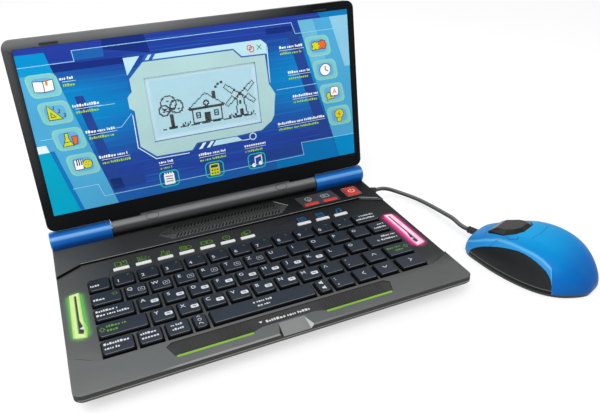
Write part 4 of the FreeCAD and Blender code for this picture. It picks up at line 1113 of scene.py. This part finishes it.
patch = Print(PLAN, DECK, 0.03)
patch.area([(71.8, 61.8), (70.3, 75.9), (107.7, 76.6), (109.4, 62.9), (109.2, 56.2), (71.9, 56.0)])
patch_paint = plastic("patch_grey", (64, 66, 67), rough=0.5, grain=0.2)
patch.piece("button_patch", patch_paint, "base", "deck_plastic")
patch_marks = Print(PLAN, DECK + 0.03, 0.03)
patch_marks.ring(81.4, 69.4, 3.0, 0.55).line([(81.4, 71.2), (81.4, 69.4), (82.8, 68.4)], 0.5)
patch_marks.line([(79.2, 66.6), (81.4, 64.9), (83.6, 66.6)], 0.5)
patch_marks.line(rounded(94.6, 66.2, 102.0, 71.4, 0.8, 3), 0.5, True)
patch_marks.line([(96.0, 69.9), (100.6, 69.9)], 0.5).line([(96.0, 67.8), (99.4, 67.8)], 0.5)
band_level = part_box("front_panel")[0].z / MM + 0.42
band_marks = Print(PLAN, band_level, 0.06)
band_marks.area([(-20.6, -76.4), (-17.8, -76.4), (-19.2, -78.6)])
band_marks.words(-15.6, 18.0, -78.0, 2.6, seed=5)
band_marks.piece("band_marks", INK["key_white"], "base", "white_rubber")
patch_marks.piece("patch_marks", INK["key_white"], "base", "white_rubber")

seams_and_step_shadow = Print(PLAN, TRAY, 0.02)
seams_and_step_shadow.line([(-103.7, 38.3), (-107.9, 21.8)], 0.35).line([(105.4, 45.7), (110.1, 29.0)], 0.35)
FRONT_SEAM = [(-140.5, -58.2), (-126.0, -67.4), (-84, -67.9), (84, -67.9), (126.0, -67.4), (140.5, -58.2)]
seams_and_step_shadow.line(FRONT_SEAM, 0.3)
# painted shadow of the rear step's wall on the tray
seams_and_step_shadow.line([(-144.2, 40.2), (-125.8, 50.6)], 1.2)
seams_and_step_shadow.piece("tray_seams", INK["seam"], "base", "deck_plastic")
# painted shade in the recess of the tray
shade = Print(PLAN, TRAY, 0.02)
shade.area([(13.8, 28.8), (53.5, 28.8), (56.5, 40.2), (16.6, 40.2)])
shade.piece("tray_recess_painted_shade", plastic("tray_painted_shade", (38, 40, 41), rough=0.5), "base", "deck_plastic")

# painted highlights along the rear step's edge, on its right end and along the grille's right rear edge
edge_painted_highlight = Print(PLAN, DECK, 0.03)
edge_painted_highlight.line([(-126.0, 51.7), (126.0, 51.7)], 0.45).line([(126.0, 51.9), (141.0, 43.4)], 0.8)
edge_painted_highlight.line([(60.2, 67.2), (50.4, 79.6)], 0.6)
# painted shadow along the step at the front right of the tray
edge_painted_shadow = Print(PLAN, DECK, 0.02)
edge_painted_shadow.line([(130.5, -67.4), (144.3, -59.5)], 0.8)
edge_painted_shadow.piece("deck_edge_dark", INK["seam"], "base", "deck_plastic")
edge_highlight_paint = plastic("edge_painted_highlight", (178, 180, 177), rough=0.4, grain=0.1, shine=0.2)
edge_painted_highlight.piece("deck_edge_light", edge_highlight_paint, "base", "deck_plastic")

# black sheet under the grille slots, standing in for the shade inside the case
shade_sheet = Print(PLAN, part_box("speaker_grille")[0].z / MM - 0.4, 0.15)
shade_sheet.area([(-57.6, 67.2), (-48.6, 58.0), (48.6, 58.0), (57.6, 67.2), (48.6, 78.0), (-48.6, 78.0)])
shade_sheet_paint = plastic("grille_shade_sheet", (9, 9, 9), rough=0.9, grain=0.6, shine=0.05)
shade_sheet.piece("grille_shade_sheet", shade_sheet_paint, "base", "speaker_paper")

# slots of the light pipes, with a small pointer each
SLOT = [(131.9, 12.4), (134.4, 12.0), (135.2, -34.1), (130.9, -35.5), (129.9, -29.2), (132.2, -19.6)]
POINTER = [(134.6, -28.6), (131.2, -26.0), (131.0, -31.2)]
for side, name in ((-1, "left"), (1, "right")):
    paint = plastic("pipe_slot_" + name, (44, 42, 52), rough=0.5)
    slot = Print(PLAN, TRAY, 0.06).area([(side * x, y) for x, y in SLOT])
    slot.piece("pipe_slot_" + name, paint, "base", "deck_plastic")
    pointer = Print(PLAN, TRAY + 0.06, 0.06).area([(side * x, y) for x, y in POINTER])
    pointer.piece("pipe_pointer_" + name, INK["key_white"], "base", "white_rubber")

# power mark
power_low, power_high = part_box("power_button")
power = Print(PLAN, power_high.z / MM, 0.04)
px, py = (power_low.x + power_high.x) / 2 / MM, (power_low.y + power_high.y) / 2 / MM
power.line(arc(px, py - 0.3, 2.9, -235, 55, 18), 0.9).line([(px, py + 0.4), (px, py + 3.4)], 0.9)
power.piece("power_mark", ink("ink_cream", (252, 226, 196)), "power_button", "white_rubber")
power_rim = Print(PLAN, DECK, 0.05)
power_rim.line(rounded(px - 7.4, py - 8.4, px + 7.4, py + 8.4, 1.6, 4), 0.45, True)
power_rim.piece("power_outline", ink("ink_outline_cream", (196, 160, 138)), "base", "white_rubber")

# ---------------------------------------------------------------- key legends
PITCH = 18.77
ROWS = [15.95, -2.69, -21.33, -39.97, -58.61]
legends = {}


def legend(node, colour="white"):
    """Print of one colour on the tops of one key node."""
    return legends.setdefault((node, colour), Print(PLAN, KEY, 0.03))


def letters(node, text, first, row, dx, dy, tall, badges=(), badge="plain"):
    """A row of key letters, some with a small badge to their right."""
    made = legend(node)
    for i, sign in enumerate(text):
        x = first + PITCH * i
        made.glyph(sign, x + dx, ROWS[row] + dy, tall)
        bx, by = x + 3.9, ROWS[row] - 1.4
        if i in badges and badge == "outline":
            made.line(rounded(bx - 2.4, by - 2.2, bx + 2.4, by + 2.2, 1.0, 3), 0.3, True)
            made.line([(bx - 1.2, by - 0.9 + 0.3 * (i % 3)), (bx, by + 1.0), (bx + 1.2, by - 0.9)], 0.35)
        elif i in badges:
            made.area(rounded(bx - 2.8, by - 1.9, bx + 2.8, by + 1.9, 1.0, 4))
            zigzag = [
                (bx - 1.4, by - 0.2), (bx - 0.4 + 0.3 * (i % 3), by + 0.8),
                (bx + 0.4, by - 0.6), (bx + 1.4, by + 0.4)]
            legend(node, "dark").line(zigzag, 0.45)


letters("number_keys", "1234567890", -97.0, 0, -4.4, -2.3, 3.8)
for i in range(11):
    tick = legend("number_keys", "green")
    x, y = -97.0 + PITCH * i + 3.9, ROWS[0] + 3.2
    tick.line([(x - 0.7, y - 0.8), (x + 0.5 * (i % 3 - 1), y + 0.8), (x + 0.7, y - 0.8 * (i % 2))], 0.4)
x, y = -97.0 + PITCH * 10, ROWS[0] - 2.3
legend("number_keys").line([(x - 5.6, y), (x - 3.2, y)], 0.6)
letters("top_row_keys", "QWERTZUIOP", -91.0, 1, -4.2, 1.9, 3.6, badges=range(6), badge="outline")
legend("top_row_keys").ring(-91.0 + PITCH * 10 - 4.2, ROWS[1] + 1.9, 1.4, 0.55, 12)
letters("home_row_keys", "ASDFGHJKL", -84.9, 2, -4.0, 2.2, 3.6, badges=range(8))
legend("home_row_keys").ring(-84.9 + PITCH * 9 - 4.0, ROWS[2] + 2.2, 1.5, 0.55, 14)
letters("bottom_row_keys", "YXCVBNM", -78.8, 3, -4.0, 2.2, 3.6, badges=range(7))
low, x, y = legend("bottom_row_keys"), -78.8 + PITCH * 7, ROWS[3]
low.line([(x - 5.4, y + 0.6), (x - 4.0, y + 3.9), (x - 2.6, y + 0.6)], 0.5)
x = -78.8 + PITCH * 8 - 5.0
low.dot(x, y + 3.2, 0.5, 8).dot(x, y - 3.4, 0.5, 8)

CAPTION_KEYS = [  # node, colour, start, end, height, size
    ("esc_key", "white", -122.0, -115.6, 14.4, 2.7),
    ("level_key", "white", -122.0, -113.6, -4.2, 2.7),
    ("favourites_key", "white", -122.2, -107.0, -18.8, 2.6),
    ("favourites_key", "white", -122.2, -99.6, -23.4, 2.6),
    ("left_shift_key", "green", -117.4, -102.6, -37.6, 2.6),
    ("left_shift_key", "green", -117.4, -110.0, -42.2, 2.6),
    ("repeat_key", "white", -121.6, -104.6, -56.0, 2.6),
    ("repeat_key", "white", -121.4, -110.6, -60.6, 2.6),
    ("lower_row_keys", "white", -97.4, -85.4, -56.0, 2.5),
    ("lower_row_keys", "white", -97.2, -85.8, -60.6, 2.5),
    ("lower_row_keys", "white", -76.8, -68.4, -56.0, 2.5),
    ("lower_row_keys", "white", -76.6, -67.8, -60.6, 2.5),
    ("space_key", "white", -17.4, -3.0, -56.2, 2.6),
    ("space_key", "white", -15.4, -5.0, -60.8, 2.6),
    ("erase_keys", "white", 107.6, 121.4, 18.6, 2.5),
    ("erase_keys", "white", 102.6, 121.6, 13.8, 2.5),
    ("erase_keys", "white", 115.4, 121.8, 0.0, 2.4),
    ("erase_keys", "white", 110.4, 121.6, -4.8, 2.4),
    ("enter_key", "white", 109.0, 122.0, -18.4, 2.5),
    ("enter_key", "white", 106.8, 121.6, -23.2, 2.5),
    ("right_shift_key", "green", 103.4, 116.2, -37.6, 2.4),
    ("right_shift_key", "green", 108.8, 116.2, -42.0, 2.4),
]
for i, (node, colour, x0, x1, y, tall) in enumerate(CAPTION_KEYS):
    legend(node, colour).words(x0, x1, y, tall * 0.9, seed=i + 3)
SHIFT_ARROW = [(-1.0, -2.4), (1.0, -2.4), (1.0, 0), (2.4, 0), (0, 2.8), (-2.4, 0), (-1.0, 0)]
legend("left_shift_key", "green").line(scaled(SHIFT_ARROW, (-120.3, -40.2), 0.85), 0.45, True)
legend("right_shift_key", "green").line(scaled(SHIFT_ARROW, (119.6, -39.4), 0.85), 0.45, True)
tip = [(104.2, -22.0), (102.8, -23.2), (104.2, -24.4)]
legend("enter_key").line([(105.6, -23.2), (103.0, -23.2)], 0.5).line(tip, 0.5)
sun = legend("level_key", "green")
for k in range(8):
    c, s = math.cos(math.radians(45 * k)), math.sin(math.radians(45 * k))
    sun.line([(-106.2 + r * c, -1.0 + r * s) for r in (1.0, 2.2)], 0.4)
CHEVRON = [(-1.9, -1.0), (0, 1.2), (1.9, -1.0)]
ARROWS = (
    (90.3, ROWS[3] + 0.6, 0), (71.3, ROWS[4] + 0.6, 90), (89.9, ROWS[4] + 0.8, 180),
    (112.6, ROWS[4] + 0.8, 270))
for x, y, turn in ARROWS:
    c, s = math.cos(math.radians(turn)), math.sin(math.radians(turn))
    legend("arrow_keys").line([(x + px * c - py * s, y + px * s + py * c) for px, py in CHEVRON], 0.6)
low = legend("lower_row_keys")
low.line([(-58.2, -54.6), (-57.0, -53.4), (-55.8, -54.6)], 0.45).ring(-56.9, -57.6, 1.2, 0.4, 12)
low.line([(-58.4, -62.4), (-57.4, -60.8), (-55.2, -62.8)], 0.5)
HORN = [(35.0, 0.0), (36.4, 0.0), (37.8, 1.2), (37.8, -3.4), (36.4, -2.2), (35.0, -2.2)]
for top in (-54.2, -60.6):
    low.area([(px, round(top + py, 1)) for px, py in HORN])
low.dot(48.0, -54.8, 0.5, 8).dot(48.0, -57.0, 0.5, 8).line([(48.2, -62.0), (47.7, -63.6)], 0.6)
SLOTS = {"white": "white_rubber", "green": "lime_plastic", "dark": "key_plastic"}
LEGEND_INK = {"white": INK["key_white"], "green": INK["key_green"], "dark": INK["seam"]}
for (node, colour), made in legends.items():
    if colour == "dark":
        made.points = [p + Vector((0, 0, 0.03)) for p in made.points]
    made.piece("legend_%s_%s" % (colour, node), LEGEND_INK[colour], node, SLOTS[colour])

# ---------------------------------------------------------------- details of the lid and hinge
AXIS = Vector(JOINTS["lid_hinge"]["pos_m"]) / MM


def wrap_line(name, spots, radius, width, paint, body):
    """Line drawn round the hinge axis: spots are (x, angle from straight up, towards the user)."""
    points = []
    faces = []
    for i, (x, angle) in enumerate(spots):
        a = math.radians(angle)
        before = spots[i - 1]
        after = spots[(i + 1) % len(spots)]
        run = Vector((after[0] - before[0], math.radians(after[1] - before[1]) * radius)).normalized()
        for side in (-0.5, 0.5):
            for rise in (0, 0.05):
                px = x - run.y * side * width
                pa = a + run.x * side * width / radius
                r = radius + rise
                points.append(AXIS + Vector((px, -r * math.sin(pa), r * math.cos(pa))))
    count = len(spots)
    for i in range(count):
        p, q = 4 * i, 4 * ((i + 1) % count)
        faces += [[p + 1, p + 3, q + 3, q + 1], [p, q, q + 2, p + 2], [p, p + 1, q + 1, q],
            [p + 2, q + 2, q + 3, p + 3]]
    return mesh_piece(name, points, faces, paint, body)


for side, name in ((-1, "left"), (1, "right")):
    turns = [math.radians(a) for a in range(0, 360, 12)]
    spots = [(side * 60 + 5.4 * math.cos(a), 34 + math.degrees(3.2 * math.sin(a) / 6.9)) for a in turns]
    wrap_line("hinge_mark_" + name, spots, 6.91, 0.4, INK["seam"], "lid")

for side, name in ((-1, "left"), (1, "right")):
    ends = sorted((side * 69.6, side * 95.0))
    profile = ((-3.6, -4.4), (-1.2, -4.4), (-1.2, -1.2), (-3.6, -1.2))
    points = [LID @ Vector((x, v, out)) for x in ends for v, out in profile]
    faces = [[3, 2, 1, 0], [4, 5, 6, 7]] + [[k, (k + 1) % 4, 4 + (k + 1) % 4, 4 + k] for k in range(4)]
    mesh_piece("lid_lip_" + name, points, faces, LIP_PAINT, "lid")

# ---------------------------------------------------------------- mouse seams, drawn on the body's surface
dg = bpy.context.evaluated_depsgraph_get()
shells = [BVHTree.FromObject(NODES[name], dg) for name in ("mouse_top_shell", "mouse_side_grips")]
MOUSE_M = MOUSE.copy()
MOUSE_M.translation = MOUSE.translation * MM


def on_mouse(x, y):
    """Surface point under (x, y) of the mouse frame, with its normal."""
    start = MOUSE_M @ (Vector((x, y, 80)) * MM)
    hits = [tree.ray_cast(start, Vector((0, 0, -1))) for tree in shells]
    hits = [hit for hit in hits if hit[0] is not None]
    if not hits:
        return None
    best = min(hits, key=lambda hit: hit[3])
    return best[0] / MM, best[1]


def through(corners, count=8):
    """Even points along a broken line."""
    out = []
    for a, b in zip(corners, corners[1:]):
        out += [tuple(p + (q - p) * i / (count - 1) for p, q in zip(a, b)) for i in range(count - 1)]
    return out + [corners[-1]]


BLUE_SEAM = plastic("seam_blue", (0, 62, 128), rough=0.5, grain=0.1)
SINK, RISE = 0.1, 0.04  # how far a seam strip reaches into the shell and above it


def mouse_line(name, corners, width=0.4):
    """Thin strip that hugs the mouse along a broken line of its plan."""
    hits = [hit for hit in (on_mouse(*spot) for spot in through(corners)) if hit]
    points = []
    faces = []
    for i, (spot, normal) in enumerate(hits):
        run = (hits[min(i + 1, len(hits) - 1)][0] - hits[max(i - 1, 0)][0]).normalized()
        across = run.cross(normal).normalized() * width / 2
        points += [spot + across - normal * SINK, spot - across - normal * SINK]
        points += [spot - across + normal * RISE, spot + across + normal * RISE]
    for i in range(len(hits) - 1):
        p, q = 4 * i, 4 * i + 4
        for k in range(4):
            faces.append([p + k, p + (k + 1) % 4, q + (k + 1) % 4, q + k])
    last = 4 * (len(hits) - 1)
    faces += [[3, 2, 1, 0], [last, last + 1, last + 2, last + 3]]
    return mesh_piece(name, points, faces, BLUE_SEAM, "mouse")


SIDE_SEAM = ((18.0, 20.8), (20.8, 22.5), (23.2, 24.3), (25.1, 25.6))
GROOVE = ((17.4, 17.7), (19.6, 12.2), (18.5, 7.0), (15.7, 8.2))
for side, name in ((-1, "left"), (1, "right")):
    mouse_line("mouse_seam_side_" + name, [(side * x, y) for x, y in SIDE_SEAM])
    mouse_line("mouse_groove_" + name, [(side * x, y) for x, y in GROOVE], 0.7)
mouse_line("mouse_seam_front", [
    (-17.2, 35.8), (-8.7, 39.2), (-2.2, 41.5), (2.2, 41.5), (8.7, 39.2), (17.2, 35.8)])
mouse_line("mouse_seam_back", [(-13.2, -1.6), (-4.3, -3.4), (4.3, -3.4), (13.2, -1.6)])

# ---------------------------------------------------------------- cable, a copy of the part's mesh
cable = bpy.data.objects.new("mouse_cable_flexible", NODES["mouse_cable"].data.copy())
scene.collection.objects.link(cable)
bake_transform(cable)
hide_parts("mouse_cable")

# ---------------------------------------------------------------- stage, light and camera
floor_mesh = bpy.data.meshes.new("floor")
floor_mesh.from_pydata([(-30, -30, 0), (30, -30, 0), (30, 30, 0), (-30, 30, 0)], [], [(0, 1, 2, 3)])
floor = bpy.data.objects.new("floor", floor_mesh)
scene.collection.objects.link(floor)
n = Nodes("floor_white")
tone = n.mix(n.noise(2.0, 2), (0.93, 0.93, 0.93, 1), (0.95, 0.95, 0.95, 1))
n.feed(n.shader.inputs["Base Color"], n.mix(0.5, tone, (0, 0, 0, 1)))
n.glow(tone, 0.6)
n.shader.inputs["Roughness"].default_value = 0.9
n.shader.inputs["Specular IOR Level"].default_value = 0.1
floor_mesh.materials.append(n.material)

world = bpy.data.worlds.new("studio")
world.use_nodes = True
scene.world = world
tree = world.node_tree
back = tree.nodes["Background"]
where = tree.nodes.new("ShaderNodeTexCoord")
split = tree.nodes.new("ShaderNodeSeparateXYZ")
tree.links.new(where.outputs["Generated"], split.inputs[0])
fade = tree.nodes.new("ShaderNodeMapRange")
for i, limit in enumerate((-0.7, 0.6, 0.55, 0.7), start=1):
    fade.inputs[i].default_value = limit
tree.links.new(split.outputs[1], fade.inputs[0])
tree.links.new(fade.outputs[0], back.inputs["Strength"])
back.inputs["Color"].default_value = (1, 1, 1, 1)


def soft_box(name, spot, aim, wide, high, power):
    """Large soft light."""
    light_data = bpy.data.lights.new(name, "AREA")
    light_data.shape = "RECTANGLE"
    light_data.size = wide
    light_data.size_y = high
    light_data.energy = power
    lamp = bpy.data.objects.new(name, light_data)
    scene.collection.objects.link(lamp)
    lamp.location = spot
    lamp.rotation_mode = "QUATERNION"
    lamp.rotation_quaternion = (Vector(aim) - Vector(spot)).to_track_quat("-Z", "Y")
    return lamp


soft_box("key_light", (-0.45, -0.75, 1.25), (0.05, 0, 0.05), 1.2, 1.0, 16)
soft_box("back_light", (-0.3, 1.2, 1.1), (0, 0, 0.05), 1.4, 0.8, 4)

camera_data = bpy.data.cameras.new("camera")
camera_data.sensor_width = 36
camera_data.lens = 36.71
camera = bpy.data.objects.new("camera", camera_data)
scene.collection.objects.link(camera)
turn, rise, roll = math.radians(-22.25), math.radians(29.15), math.radians(-2.04)
behind = Vector((math.sin(turn) * math.cos(rise), -math.cos(turn) * math.cos(rise), math.sin(rise)))
across = Vector((0, 0, 1)).cross(behind).normalized()
upward = behind.cross(across)
right = across * math.cos(roll) + upward * math.sin(roll)
upward = upward * math.cos(roll) - across * math.sin(roll)
camera.matrix_world = Matrix((right, upward, behind)).transposed().to_4x4()
camera.location = (-0.1161, -0.3929, 0.2918)
scene.camera = camera
scene.view_settings.view_transform = "Standard"
